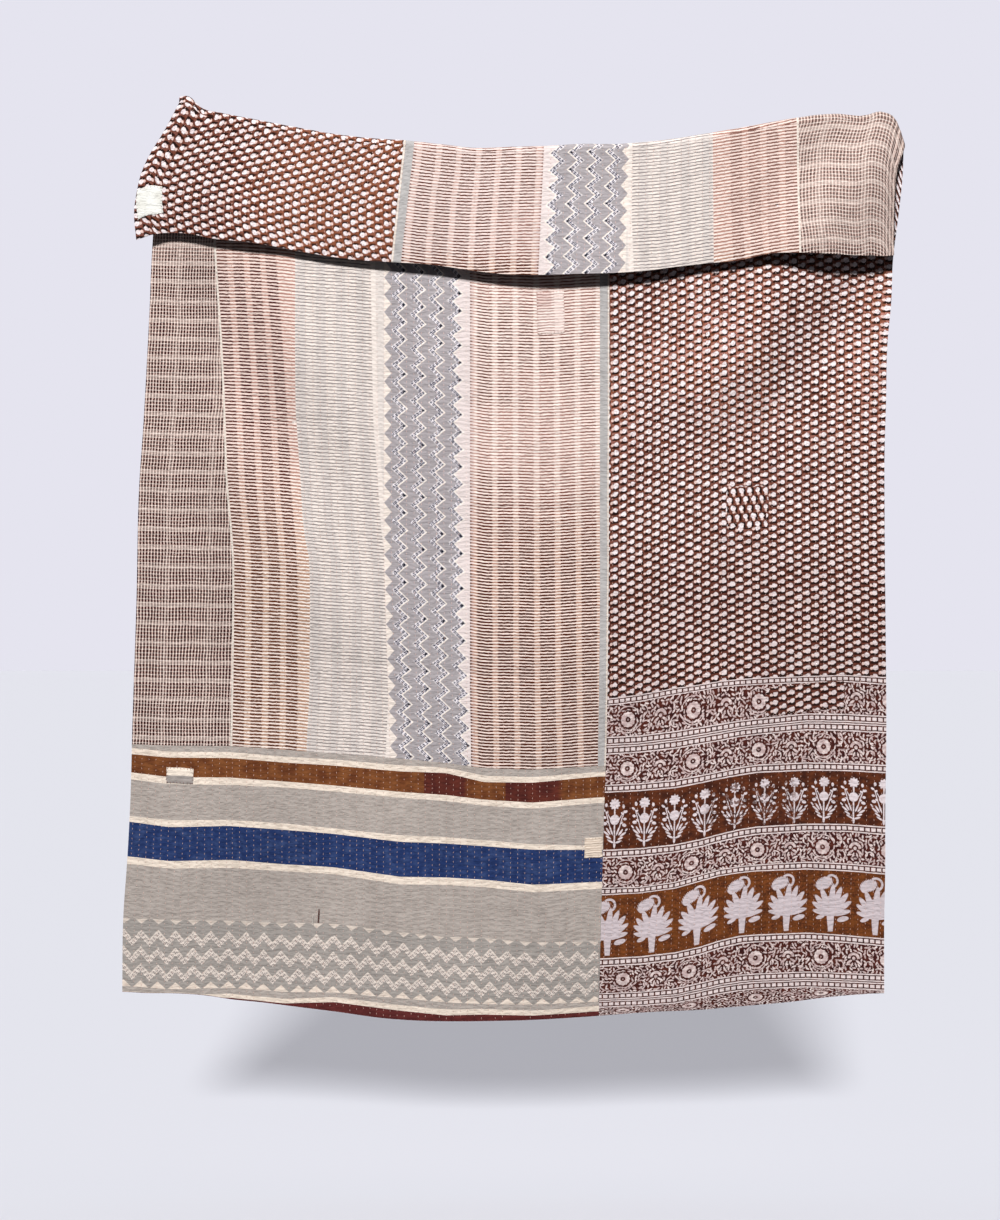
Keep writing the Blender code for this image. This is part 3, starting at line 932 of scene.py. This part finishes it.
def lowZigzagPattern(u, v, place):
    slope = saw(u, lowZigzag["pitch"], 2.0)
    bands = v + slope * lowZigzag["depth"] - lowZigzag["depth"] / 2
    first, reach = lowZigzag["first"], lowZigzag["reach"]
    grey = mixed(*lowZigzag["grey"], place.noise(50, 2))
    nearest = bands.repeated(lowZigzag["bandPitch"], first)
    inBands = bands.between(first - reach, lowZigzag["last"] + reach, 1)
    inside, speck = speckles(nearest, u, place, 7.2, 0.30, 5.2)
    outline = nearest.between(6.4, 8.6, 1.0) * place.cloudy(70, 1, 0.42, 0.2)
    colour = painted(grey, lowZigzag, band=inside * inBands, speck=speck * inBands * 0.80,
                     outline=outline * inBands, teeth=(v + slope * 15.0 - 13.5).below(0.0, 1.2),
                     hanging=(v - slope * 14.0 - 128).above(0.0, 1.2) * 0.8)
    width = lowZigzag["width"]
    colour = mixed(colour, grey, u.above(width, 1.0))
    return mixed(colour, lowZigzag["end"], u.between(width + 7, width + 10.5, 1.0))


def plainPattern(colour, darker):
    return lambda u, v, place: mixed(colour, darker, place.cloudy(55, 3, 0.55, 0.5) * 0.8)


navyBand = dict(dye=("#1f3567", "#19284f"), worn="#3f5079")
# The brown band is pieced with red lengths, as (start, end, softness of the end) in mm.
brownBand = dict(brown=("#7c4a27", "#5f3219"), red=("#5f2a1f", "#4a1d18"),
                 redLengths=((589, 674, 14), (753, 865, 18)))


def navyPattern(u, v, place):
    worn = place.cloudy(80, 3, 0.58, 0.4)
    return mixed(mixed(*navyBand["dye"], place.noise(12, 2)), navyBand["worn"], worn * 0.6)


def brownPattern(u, v, place):
    patchy = place.cloudy(45, 3, 0.5, 0.4)
    first, second = (u.above(start, 1) * u.below(end, soft)
                     for start, end, soft in brownBand["redLengths"])
    brown, red = (mixed(*brownBand[dye], patchy) for dye in ("brown", "red"))
    return mixed(brown, red, first + second)


# edge is a dark rim round each spot, set low: printed outline and painted shadow under it
dotPrint = dict(pitch=17.0, rowPitch=16.6, ground=("#834b33", "#b1776a"), dark="#54261a",
                bleached="#a0603f", line="#260d06", edge="#1e0803", small="#dfc2b9",
                heart=("#f2e6e6", "#c3aeb2"), dullHeart="#cdb9b6",
                mendX=(0.437, 0.519), mendZ=(-0.759, -0.679))


# One block-printed spot: a big lobe, a small one at its left, and a dark rim round them, set low:
# printed outline and painted shadow under the spots.
def spots(u, v, place):
    pitch, rowPitch = dotPrint["pitch"], dotPrint["rowPitch"]
    x = u.repeated(pitch) + (place.noise(34, 2) - 0.5) * 4.4
    y = (v + (u.count(pitch) * 0.5).math("FRACT") * rowPitch).repeated(rowPitch)
    y = y + (place.noise(46, 2) - 0.5) * 4.2
    grown = place.noise(36, 1) * 0.55 + 0.76
    ragged = (place.noise(210, 1) - 0.5) * 0.9
    big = ellipse(x, y, (2.2, 0.6), (5.0, 4.5), 12) + ragged
    small = ellipse(x, y, (-4.9, -0.5), (3.2, 2.8)) + ragged
    rimAndShadow = ellipse(x, y, (1.7, -0.9), (6.3, 5.2), 8)
    under = ellipse(x, y, (1.0, -5.9), (8.2, 2.6), 6)
    return big / grown, small / grown, rimAndShadow / grown, under


# The print, with a mend of the same print turned on its side in the front cloth.
def dotsPattern(u, v, place):
    sway = (place.noise(30, 1) - 0.5) * 0.014
    mend = ((place.axis("X") + sway).between(*dotPrint["mendX"], 0.0001)
            * (place.axis("Z") + sway).between(*dotPrint["mendZ"], 0.0001))
    plain = 1.0 - mend
    big, small, rimAndShadow, under = spots(u * plain + v * mend, v * plain - u * mend, place)
    onFlap = flapShare(place)
    darker = place.cloudy(6, 2, 0.50, 0.25).most(v.below(520, 360).most(onFlap * 0.85))
    deep = v.below(240, 200) * (1.0 - onFlap)
    bleached = onFlap * u.below(1280, 200)
    ground = mixed(*dotPrint["ground"], place.cloudy(140, 2, 0.52, 0.25))
    line = under.below(1.0 + deep * 0.2, 0.5) * (0.75 + place.noise(90, 1) * 0.5 - bleached * 0.5)
    # edge: the dark rim round each spot, partly printed outline and partly painted shadow under
    # the spot
    colour = painted(ground, dotPrint, dark=darker * 0.7 + deep * 0.2, bleached=bleached * 0.4,
                     line=line, edge=rimAndShadow.below(1.10, 0.22) * 0.95,
                     small=small.below(1.0, 0.4))
    heart = mixed(*dotPrint["heart"], place.cloudy(300, 1, 0.54, 0.16) * 0.6)
    heart = mixed(heart, dotPrint["dullHeart"], deep * 0.5)
    return mixed(colour, heart, big.below(1.0, 0.34))


border = dict(ink=("#34110f", "#512218"), bead="#dfcfcd", beadPitch=11.6,
              scroll=("#e4d3cf", "#bda5a3"), rosettePitch=132, rosetteAt=998,
              leafSpacing=7.4)


def inked(place):
    return mixed(*border["ink"], place.cloudy(80, 2, 0.5, 0.4))


# Two white lines with a row of white beads between them.
def beadRow(u, v, low):
    line = v.between(low, low + 2.4, 0.9).most(v.between(low + 13.6, low + 16, 0.9))
    bead = abs(u.repeated(border["beadPitch"])).below(4.3, 1.4)
    return line.most(bead * abs(v - (low + 8.0)).below(3.3, 1.4))


def beadPattern(u, v, place):
    return mixed(inked(place), border["bead"], beadRow(u, v, 0))


def doubleBeadPattern(u, v, place):
    return mixed(inked(place), border["bead"], beadRow(u, v, 0).most(beadRow(u, v, 18)))


# Leaves as (x, y, long, wide, turn), with millimetres and degrees.
def leafShapes(x, y, shapes, soft=0.3):
    first, *others = [disc(x, y, shape[:2], shape[2:4], shape[4], soft) for shape in shapes]
    return first.most(*others)


# Small leaves strewn evenly, each turned its own way.
def strewnLeaves(u, v, spacing, long, wide):
    cells = addNode(u.tree, "TexVoronoi", {
        "Vector": flatVector(u, v), "Scale": 1 / spacing, "Randomness": 0.75},
        voronoi_dimensions="2D")
    middle = field(u.tree, cells.outputs["Position"])
    x, y = u - middle.axis("X"), v - middle.axis("Y")
    angle = field(u.tree, cells.outputs["Color"]) * (2 * math.pi)
    along = x * angle.cos() + y * angle.sin()
    beside = y * angle.cos() - x * angle.sin()
    return ellipse(along, beside, (0, 0), (long, wide)).below(1.0, 0.45)


# A running border of rosettes, with half flowers between them and leafy curls all round.
def scrollPattern(u, v, place):
    pitch, start = border["rosettePitch"], border["rosetteAt"]
    x, y = u.repeated(pitch, start), v - 30
    halfway = u.repeated(pitch, start + pitch / 2)
    petals = (x.math("ARCTAN2", y) * 12).cos()
    away, seat = distance(x, y, (0, 0)), distance(halfway, y, (0, 0))
    nearCurl = distance(abs(x), y, (30, 14)).least(distance(abs(x), y, (36, -14)))
    leaf = strewnLeaves(u, v, border["leafSpacing"], 4.1, 1.65)
    leaf = leaf * away.above(17.5, 1.0) * seat.above(13.5, 1.0)
    curl = nearCurl.between(8.2, 10.2, 0.8) * (abs(x) - 33).above(-2, 6)
    arcs = away.between(19.0, 21.0, 1.0) * (-y).above(6, 3)
    arcs = arcs.most(away.between(23.5, 25.3, 1.0) * abs(y).above(12, 3))
    crescent = seat.between(6.5, 12.0, 1.0) * y.above(0, 2)
    curls = leafShapes(abs(halfway), y, ((9, -7, 6.5, 2.2, -35), (4, -13, 5, 1.8, -70)))
    white = leaf.most((away - petals * 0.6).between(5.2, 14.0, 1.0), arcs, crescent, curls,
                      curl, seat.below(3.2, 1.2), away.below(1.8, 1.0) * 0.7)
    faded = mixed(*border["scroll"], place.cloudy(110, 2, 0.47, 0.3))
    return mixed(inked(place), faded, white)


smallFlower = dict(pitch=60.3, at=1034.5, ground=("#613018", "#3a190e"), print="#dccfd2",
                   smudgeFrom=1160, smudgeTo=1340, leaves=(
                       (17.5, 84, 2.6, 3.8, 0), (22.5, 74, 3.8, 2.3, 30),
                       (15.5, 70, 3.2, 2.0, -40), (20.8, 60, 3.4, 2.6, 10),
                       (14, 52, 3.2, 1.8, 30), (19.5, 48, 4.4, 3.2, -10),
                       (12.5, 34, 7.5, 1.9, 56), (6.5, 35, 8.5, 1.7, 70),
                       (17, 30, 7.5, 2.0, 36), (8, 15, 6.5, 2.0, 24), (12, 22, 6.0, 1.9, 28),
                       (24, 39, 3.6, 1.6, 46)))


def smallFlowerPattern(u, v, place):
    x, y = u.repeated(smallFlower["pitch"], smallFlower["at"]), v
    side, lean = abs(x), x * 0.12
    petals = (x.math("ARCTAN2", y - 87) * 10).cos()
    head = (distance(x, y, (0, 87)) - petals * 1.2).below(9.8, 1.2)
    disk = disc(x, y, (0, 57), (9.4, 9.8), 0, 0.14)
    stem = side.below(1.4, 1.0) * y.between(12, 78, 2)
    sprig = abs(side - 7 - (y - 34 + lean) * 0.30).below(1.0, 0.8) * y.between(36, 74, 2)
    twig = abs(side * 0.9 - (y - 44 + lean) * 0.55).below(1.0, 0.8) * side.between(6, 14, 1)
    leaves = leafShapes(side, y + lean, smallFlower["leaves"])
    foot = disc(x, y, (0, 9), (2.3, 6.5), 0, 0.3)
    white = head.most(disk, stem, sprig, twig, leaves, foot)
    smudged = (u.between(smallFlower["smudgeFrom"], smallFlower["smudgeTo"], 40)
               * place.cloudy(150, 2, 0.52, 0.1))
    grain = 0.86 + place.noise(330, 1) * 0.2
    ground = mixed(*smallFlower["ground"], place.cloudy(70, 3, 0.5, 0.4))
    return mixed(ground, smallFlower["print"], white * (1.0 - smudged * 0.85) * grain)


# Its fronds spread from low on the stem, longest at the top.
bigFlower = dict(pitch=89.3, at=1055.4, ground=("#6d3b16", "#47220f"), glow="#834522",
                 print="#c9bcc0", fronds=(
                     (2, 69, 31, 6.2, 85), (10.5, 66, 30, 6.2, 70), (17, 60, 28, 6.2, 52),
                     (20.5, 52.5, 25, 5.8, 35), (20, 43, 21, 5.2, 14),
                     (-9.5, 64.5, 28, 6.2, -68), (-16, 57, 25, 6.0, -50),
                     (-18.5, 50, 22, 5.6, -32), (-18, 42, 19, 5.0, -12), (0, 56, 15, 20, 0)),
                 lowLeaves=((25, 31, 12, 5.2, 16), (-21, 33, 9, 4.0, 20)))


def bigFlowerPattern(u, v, place):
    x, y = u.repeated(bigFlower["pitch"], bigFlower["at"]), v
    petals = (x * 1.9 + y * 0.6).cos() * 0.10
    bell = (ellipse(x, y, (-14, 101), (17.5, 11.5), 22) + petals).below(1.0, 0.12)
    cup = disc(x, y, (-24, 94), (6, 8), 20, 0.2)
    arch = distance(x, y, (1, 105)).between(9.5, 14.0, 1.0) * (x + y * 0.5).above(49, 4)
    fan = leafShapes(x, y, bigFlower["fronds"], 0.14)
    low = leafShapes(x, y, bigFlower["lowLeaves"], 0.16)
    foot = abs(x).below(4.4 + y * 0.08, 1.2) * y.between(5, 46, 2)
    white = bell.most(cup, arch, fan, low, foot)
    grain = 0.88 + place.noise(330, 1) * 0.16
    ground = mixed(*bigFlower["ground"], place.cloudy(60, 3, 0.5, 0.45))
    ground = mixed(ground, bigFlower["glow"], place.cloudy(300, 1, 0.56, 0.2) * 0.5)
    return mixed(ground, bigFlower["print"], white * grain)


zonePatterns = dict(
    check=("burgundyCheck", checkPattern),
    whiteLine=("whiteLine", plainPattern("#e2d7cc", "#cbbdb2")),
    stripesA=("brownStripesA", stripesAPattern),
    pale=("paleStripes", palePattern),
    zigzag=("greyZigzag", zigzagPattern),
    stripesB=("brownStripesB", stripesBPattern),
    greyStrip=("greyStrip", plainPattern("#b3afad", "#a19d9c")),
    hemRed=("hemRed", plainPattern("#5f2826", "#4a1c1c")),
    creamLine=("creamLine", plainPattern("#e9dacb", "#d6c6b6")),
    greyBand=("greyBand", plainPattern("#aea49d", "#9d938c")),
    lowZigzag=("lowZigzag", lowZigzagPattern),
    navyBand=("navyBand", navyPattern),
    brownBand=("brownBand", brownPattern),
    scroll=("scrollBorder", scrollPattern),
    doubleBeads=("doubleBeadBorder", doubleBeadPattern),
    beads=("beadBorder", beadPattern),
    bigFlowers=("bigFlowerBorder", bigFlowerPattern),
    smallFlowers=("smallFlowerBorder", smallFlowerPattern),
    dots=("dottedPrint", dotsPattern),
)
clothMaterials = {zone: clothMaterial(*look) for zone, look in zonePatterns.items()}
print("materials made")

frontColumns = columnTable(stripedLines["heights"], stripedLines["lines"], onFlap=False)
flapColumns = columnTable(stripedFlapLines["heights"], stripedFlapLines["lines"], onFlap=True)
halfGap = quilt["seamGap"] / quilt["width"] / 2
leftEdge, rightEdge = np.zeros_like(alongSamples), np.ones_like(alongSamples)

# Each cloth: its lines from left to right, the zones between them and the columns of each,
# then its bands, the rows of its main length, and the sides that are the quilt's own edges.
cloths = dict(
    frontStripedCloth=dict(
        face="front", node="front_striped_panel", slot="striped_cloth", flat=(0.958, 2.06),
        lines=[leftEdge, *frontColumns[:-1], frontColumns[-1] - halfGap],
        zones=stripedLines["zones"], columns=stripedLines["columns"],
        bands=stripedBands, mainRows=319, trimmed=(0,)),
    frontPrintCloth=dict(
        face="front", node="front_print_panel", slot="printed_cloth", flat=(0.562, 2.06),
        lines=[frontColumns[-1] + halfGap, rightEdge], zones=("print",), columns=(76,),
        bands=printBands, mainRows=278, trimmed=(1,)),
    backPrintCloth=dict(
        face="back", node="back_print_panel", slot="printed_cloth", flat=(0.517, 2.06),
        lines=[leftEdge, flapColumns[0] - halfGap], zones=("print",), columns=(72,),
        bands=printBands, mainRows=334, trimmed=(0,)),
    backStripedCloth=dict(
        face="back", node="back_striped_panel", slot="striped_cloth", flat=(1.003, 2.06),
        lines=[flapColumns[0] + halfGap, *flapColumns[1:], rightEdge],
        zones=stripedFlapLines["zones"], columns=stripedFlapLines["columns"],
        bands=stripedBands, mainRows=371, trimmed=(1,)),
)
pieces = {name: makeCloth(name, cloth) for name, cloth in cloths.items()}
print("cloths made")

# Patches and the label, sewn on top.

def bandPatchPattern(u, v, place):
    return mixed(mixed("#a79e99", "#8f8783", place.noise(90, 2)), "#e8dacb", v.above(15.5, 1.2))


def creamPatchPattern(u, v, place):
    ridge = abs(v.repeated(4.6)).below(1.0, 1.6)
    return mixed("#ecdccb", "#b9a08d", ridge * 0.8)


def stripePatchPattern(u, v, place):
    line = rows(v, u, 5.6, 2.2, place.noise(150, 2) - 0.5)
    look = dict(reddened="#b98f88", thin="#ae8a83", ink="#7c4a3f")
    return painted("#f0ded6", look, reddened=u.below(30, 4) * v.above(52, 6) * 0.35,
                   thin=line * 0.55, ink=line * u.below(36, 3) * 0.6)


def labelPattern(place):
    return mixed("#e9e8e2", "#d9d7cf", place.cloudy(40, 2, 0.5, 0.3))


patches = dict(
    bandPatch=dict(face="front", share=0.065, along=0.249, width=0.054, height=0.031, turn=0,
                   node="band_patch", slot="plain_patch", pattern=bandPatchPattern,
                   thread=("#6b2d28", "#8a4438")),
    creamPatch=dict(face="front", share=0.6135, along=0.195, width=0.036, height=0.040, turn=0,
                    node="cream_patch", slot="plain_patch", pattern=creamPatchPattern,
                    thread=("#d9c6b4", "#c4ad9a")),
    printPatch=dict(face="front", share=0.892, along=0.345, width=0.160, height=0.056, turn=0,
                    node="print_patch", slot="printed_cloth", pattern=dotsPattern,
                    thread=("#b98a7a", "#d3b0a2")),
    stripePatch=dict(face="front", share=0.5525, along=0.8145, width=0.056, height=0.084,
                     turn=0, node="stripe_patch", slot="striped_cloth",
                     pattern=stripePatchPattern, thread=("#a5766a", "#c79a8c")),
    blankLabel=dict(face="back", share=0.0195, along=2.735, width=0.052, height=0.058, turn=8,
                    node="blank_label", slot="label", pattern=labelPattern, quilted=False,
                    thread=("#d9d6ce", "#c9c5bb")),
)
# heights are over the quilt's middle
patchSizes = dict(cell=0.0035, under=0.0016, over=0.0026, edge=0.0021, turnedIn=0.004,
                  pucker=0.00022, step=0.005, stitchPitch=0.0068, stitchInset=0.0012,
                  stitchLength=0.0046, stitchSlip=0.0005)


def facing(patch):
    return 1 if patch["face"] == "front" else -1


# The (share, along) of a place on a patch, a to its right and b upwards from its middle.
def patchPlaces(patch, a, b):
    step = patchSizes["step"]
    ends = clothRun(patch["share"], np.array((patch["along"] - step, patch["along"] + step)))
    length = (ends[1] - ends[0]) / (2 * step) * (1 if patch["along"] < 1 else -1)
    lean = math.radians(patch["turn"])
    share = patch["share"] + (a * math.cos(lean) - b * math.sin(lean)) / quilt["width"]
    along = patch["along"] + (a * math.sin(lean) + b * math.cos(lean)) / length
    return share, along


def makePatch(name, patch):
    width, height, toward = patch["width"], patch["height"], facing(patch)
    nx, ny = (int(size / patchSizes["cell"]) // 4 * 4 for size in (width, height))
    mesh, plan = clothCells(name, nx, ny)
    acrossPlan, upPlan, side = plan.astype(float).T
    # edges that were turned in by hand, so not quite straight
    a = acrossPlan * width * (1 + 0.018 * np.sin(9 * upPlan + patch["share"] * 50))
    b = upPlan * height * (1 + 0.022 * np.sin(8 * acrossPlan + patch["along"] * 30))
    share, along = patchPlaces(patch, a, b)
    inset = np.minimum((0.5 - abs(acrossPlan)) * width, (0.5 - abs(upPlan)) * height)
    soft = np.clip(inset / patchSizes["turnedIn"], 0, 1) ** 0.5
    lift = patchSizes["edge"] + (patchSizes["over"] - patchSizes["edge"]) * soft
    lift = lift + patchSizes["pucker"] * (np.sin(900 * b + 40 * a) + 0.7 * np.sin(260 * a)) * soft
    lift = np.where(side < -0.5, patchSizes["under"], lift)
    liftPoints(mesh, share, along, lift, toward)
    if (toward < 0) == (patch["along"] < 1):        # else it is turned over twice, or not at all
        mesh.flip_normals()
    corner = cornerPoints(mesh)
    setMap(mesh, "clothPlan", (acrossPlan[corner] + 0.5) * width, (upPlan[corner] + 0.5) * height)
    setMap(mesh, "stitchPlan", acrossPlan[corner] * nx / 4, b[corner] / relief["stitchPitch"])
    mesh.materials.append(clothMaterial(name, patch["pattern"], patch.get("quilted", True)))
    return fitPiece(name, mesh, patch)


patchPieces = {name: makePatch(name, patch) for name, patch in patches.items()}
print("patches made")

# Stitches are short soft dashes of thread, all of a face in one mesh.
thread = dict(length=0.0056, width=0.0010, thickness=0.0007, lift=0.00015,
              slack=0.25,       # of a stitch, by which its place varies
              lean=0.10, missed=0.01, sizes=(0.8, 1.15), patchLean=(0.25, 0.1))


# The corners of slim pointed dashes on the face that a side (1 or -1) names, at heights over
# the quilt's middle. Each lies along its own way, but for a lean to one side.
def dashCorners(share, along, height, side, way, lean, length):
    corners = np.array(((1, 0, 0), (-1, 0, 0), (0, 1, 0), (0, -1, 0), (0, 0, 1), (0, 0, -1)))
    normal = frontNormal(share, along) * side
    centre = middle(share, along) + normal * np.reshape(height + thread["lift"], (-1, 1))
    way = unit(way)
    way = unit(way + lean * np.cross(normal, way))
    axes = np.stack((way * length / 2, np.cross(normal, way) * thread["width"] / 2,
                     normal * thread["thickness"] / 2), axis=1)
    return centre[:, None, :] + corners @ axes


def dashPiece(name, points, material):
    sides = np.array(((0, 2, 4), (2, 1, 4), (1, 3, 4), (3, 0, 4),
                      (2, 0, 5), (1, 2, 5), (3, 1, 5), (0, 3, 5)))
    faces = (np.arange(len(points)) * 6)[:, None, None] + sides
    mesh = bpy.data.meshes.new(name)
    mesh.from_pydata(points.reshape(-1, 3), [], faces.reshape(-1, 3))
    mesh.shade_smooth()
    mesh.materials.append(material)
    made = addObject(name, mesh)
    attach(made, "root")
    return made


def threadOf(name, first, second):
    return clothMaterial(name, lambda place: mixed(first, second, place.noise(30)), quilted=False)


# A cloth's stitches lie halfway between its ripples, along every other line of its grid.
def clothStitches(grid, lastAlong, rng):
    turns, step = grid["turns"], quilt["slopeStep"]
    for i in range(1, len(turns) - 1, 2):
        halves = np.arange(math.ceil(turns[i, 0]), math.floor(turns[i, -1])) + 0.5
        row = np.interp(halves, turns[i], np.arange(turns.shape[1]))
        row = row + rng.uniform(-thread["slack"], thread["slack"], len(row))
        row = row[(row > 1) & (row < turns.shape[1] - 2)]
        low = row.astype(int)
        part = row - low
        share, along, height = (grid[key][i, low] * (1 - part) + grid[key][i, low + 1] * part
                                for key in ("share", "along", "height"))
        keep = (along < lastAlong) & (rng.random(len(row)) > thread["missed"])
        share, along, height = share[keep], along[keep], height[keep]
        way = middle(share, along + step) - middle(share, along - step)
        lean = rng.normal(0, thread["lean"], (len(way), 1))
        length = rng.uniform(*thread["sizes"], (len(way), 1)) * thread["length"]
        yield dashCorners(share, along, height, grid["toward"], way, lean, length)


def makeStitches(name, sewn, lastAlong):
    rng = np.random.default_rng(7)
    points = [dashes for cloth in sewn
              for dashes in clothStitches(pieces[cloth][1], lastAlong, rng)]
    return dashPiece(name, np.concatenate(points), threadMaterial)


threadMaterial = threadOf("pinkThread", "#dcaaa0", "#e3c4b4")
frontStitches = makeStitches("frontStitches", ("frontStripedCloth", "frontPrintCloth"), bodyTop)
backStitches = makeStitches("backStitches", ("backStripedCloth", "backPrintCloth"), 3.0)


# Overcast stitches round a patch, straight across its turned-in edge.
def patchStitches(name, patch, outStep=0.001):
    rng = np.random.default_rng(11)
    halfA, halfB = (patch[size] / 2 - patchSizes["stitchInset"] for size in ("width", "height"))
    pitch = patchSizes["stitchPitch"]
    spots = []
    for side in (-1, 1):
        spots += [(a, side * halfB, 0, 1) for a in np.arange(-halfA, halfA, pitch)]
        spots += [(side * halfA, b, 1, 0) for b in np.arange(-halfB, halfB, pitch)]
    a, b, outA, outB = np.array(spots).T
    a = a + rng.normal(0, patchSizes["stitchSlip"], len(a))
    b = b + rng.normal(0, patchSizes["stitchSlip"], len(b))
    share, along = patchPlaces(patch, a, b)
    outer = middle(*patchPlaces(patch, a + outA * outStep, b + outB * outStep))
    way = outer - middle(share, along)
    lean = rng.normal(*thread["patchLean"], (len(way), 1))
    points = dashCorners(share, along, patchSizes["over"], facing(patch), way, lean,
                         patchSizes["stitchLength"])
    material = threadOf(name + "Thread", *patch["thread"])
    return dashPiece(name + "Stitches", points, material)


patchThreads = {name: patchStitches(name, patch) for name, patch in patches.items()}

# Short rows of close stitches that darn a worn place, each a little ladder of threads.
darns = dict(
    redDarn=dict(share=0.255, low=0.1000, high=0.1149, width=0.0048, rows=22,
                 thread=("#4a1a18", "#7a3a2c")),
    whiteDarn=dict(share=0.2475, low=0.0962, high=0.1086, width=0.0050, rows=18,
                   thread=("#ece4dc", "#d8ccc2")),
)


def makeDarn(name, darn):
    step = quilt["slopeStep"]
    along = np.linspace(darn["low"], darn["high"], darn["rows"])
    share = np.full(len(along), darn["share"])
    way = middle(share + step, along) - middle(share - step, along)
    height = relief["body"] + relief["swell"]
    points = dashCorners(share, along, height, 1, way, 0, darn["width"])
    return dashPiece(name, points, threadOf(name + "Thread", *darn["thread"]))


darnPieces = [makeDarn(name, darn) for name, darn in darns.items()]
print("stitches made")

sewnOn = dict(frontStripedCloth=[frontStitches] + darnPieces, backStripedCloth=[backStitches])
for name, cloth in cloths.items():
    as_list(sewnOn.get(name, []))

studio = dict(
    floorZ=-2.09, floorReach=60.0, floorTone="#f7f8ff",
    sky="#e5e4ef", skyAbove="#c6c5c8", skyInFront="#4c4c50",
    aboveFrom=0.42, aboveSoft=0.4, frontFrom=-0.05, frontSoft=0.5,
    cameraPlace=(-0.016, -7.0, -0.926), shownHeight=2.44, sensor=36.0, clipEnd=200,
    keyPlace=(-1.0, -10.5, 7.7), keyAim=(0, 0, -0.6), keyPower=3600.0, keySize=1.8,
    lowTurn=(76.2, 0, -2), lowPower=6.5, lowAngle=6.0, fillPower=3.1)


# Puts only the named objects in a light's reach.
def lightOnly(light, objects):
    reached = bpy.data.collections.new(light.name + "Reach")
    for one in objects:
        reached.objects.link(one)
    light.light_linking.receiver_collection = reached


bm = bmesh.new()
bmesh.ops.create_grid(bm, x_segments=24, y_segments=24, size=studio["floorReach"])
bmesh.ops.translate(bm, verts=bm.verts, vec=(0, 0, studio["floorZ"]))
floorMesh = bpy.data.meshes.new("floor")
bm.to_mesh(floorMesh)
bm.free()
floor = addObject("floor", floorMesh)
floorMaterial = bpy.data.materials.new("paleFloor")
floorMaterial.use_nodes = True
setInputs(floorMaterial.node_tree.nodes["Principled BSDF"], {
    "Base Color": shade(studio["floorTone"]), "Roughness": 1.0, "Specular IOR Level": 0.0})
floorMesh.materials.append(floorMaterial)
floor.visible_diffuse = False       # it throws no light up under the fold

# pale behind the cloth, dim overhead and behind the camera
world = bpy.data.worlds.new("studio")
bpy.context.scene.world = world
world.use_nodes = True
worldTree = world.node_tree
direction = field(worldTree, worldTree.nodes.new("ShaderNodeTexCoord").outputs["Generated"])
above = direction.axis("Z").above(studio["aboveFrom"], studio["aboveSoft"])
inFront = direction.axis("Y").below(studio["frontFrom"], studio["frontSoft"])
sky = painted(studio["sky"], studio, skyAbove=above, skyInFront=inFront)
setInputs(worldTree.nodes["Background"], {"Color": sky, "Strength": studioGain})

key = bpy.data.lights.new("key", "AREA")
key.shape = "DISK"
key.size = studio["keySize"]
key.energy = studio["keyPower"]
keyLight = addObject("key", key)
keyLight.location = studio["keyPlace"]
keyAim = mathutils.Vector(studio["keyAim"]) - keyLight.location
keyLight.rotation_euler = keyAim.to_track_quat("-Z", "Y").to_euler()
lightOnly(keyLight, [one for one in bpy.data.objects if one.type == "MESH" and one != floor])

# two lights for the floor alone: the one that fills its shadow casts none
for name, power, shadowed in (("low", studio["lowPower"], True),
                              ("fill", studio["fillPower"], False)):
    sun = bpy.data.lights.new(name, "SUN")
    sun.energy = power
    sun.angle = math.radians(studio["lowAngle"])
    sun.use_shadow = shadowed
    sunLight = addObject(name, sun)
    sunLight.rotation_euler = [math.radians(turn) for turn in studio["lowTurn"]]
    lightOnly(sunLight, [floor])

cameraData = bpy.data.cameras.new("camera")
cameraData.sensor_width = studio["sensor"]
cameraData.lens = studio["sensor"] * -studio["cameraPlace"][1] / studio["shownHeight"]
cameraData.clip_end = studio["clipEnd"]
camera = addObject("camera", cameraData)
camera.location = studio["cameraPlace"]
camera.rotation_euler = (math.radians(90), 0, 0)
bpy.context.scene.camera = camera
bpy.context.scene.view_settings.view_transform = "Standard"

print("scene made")
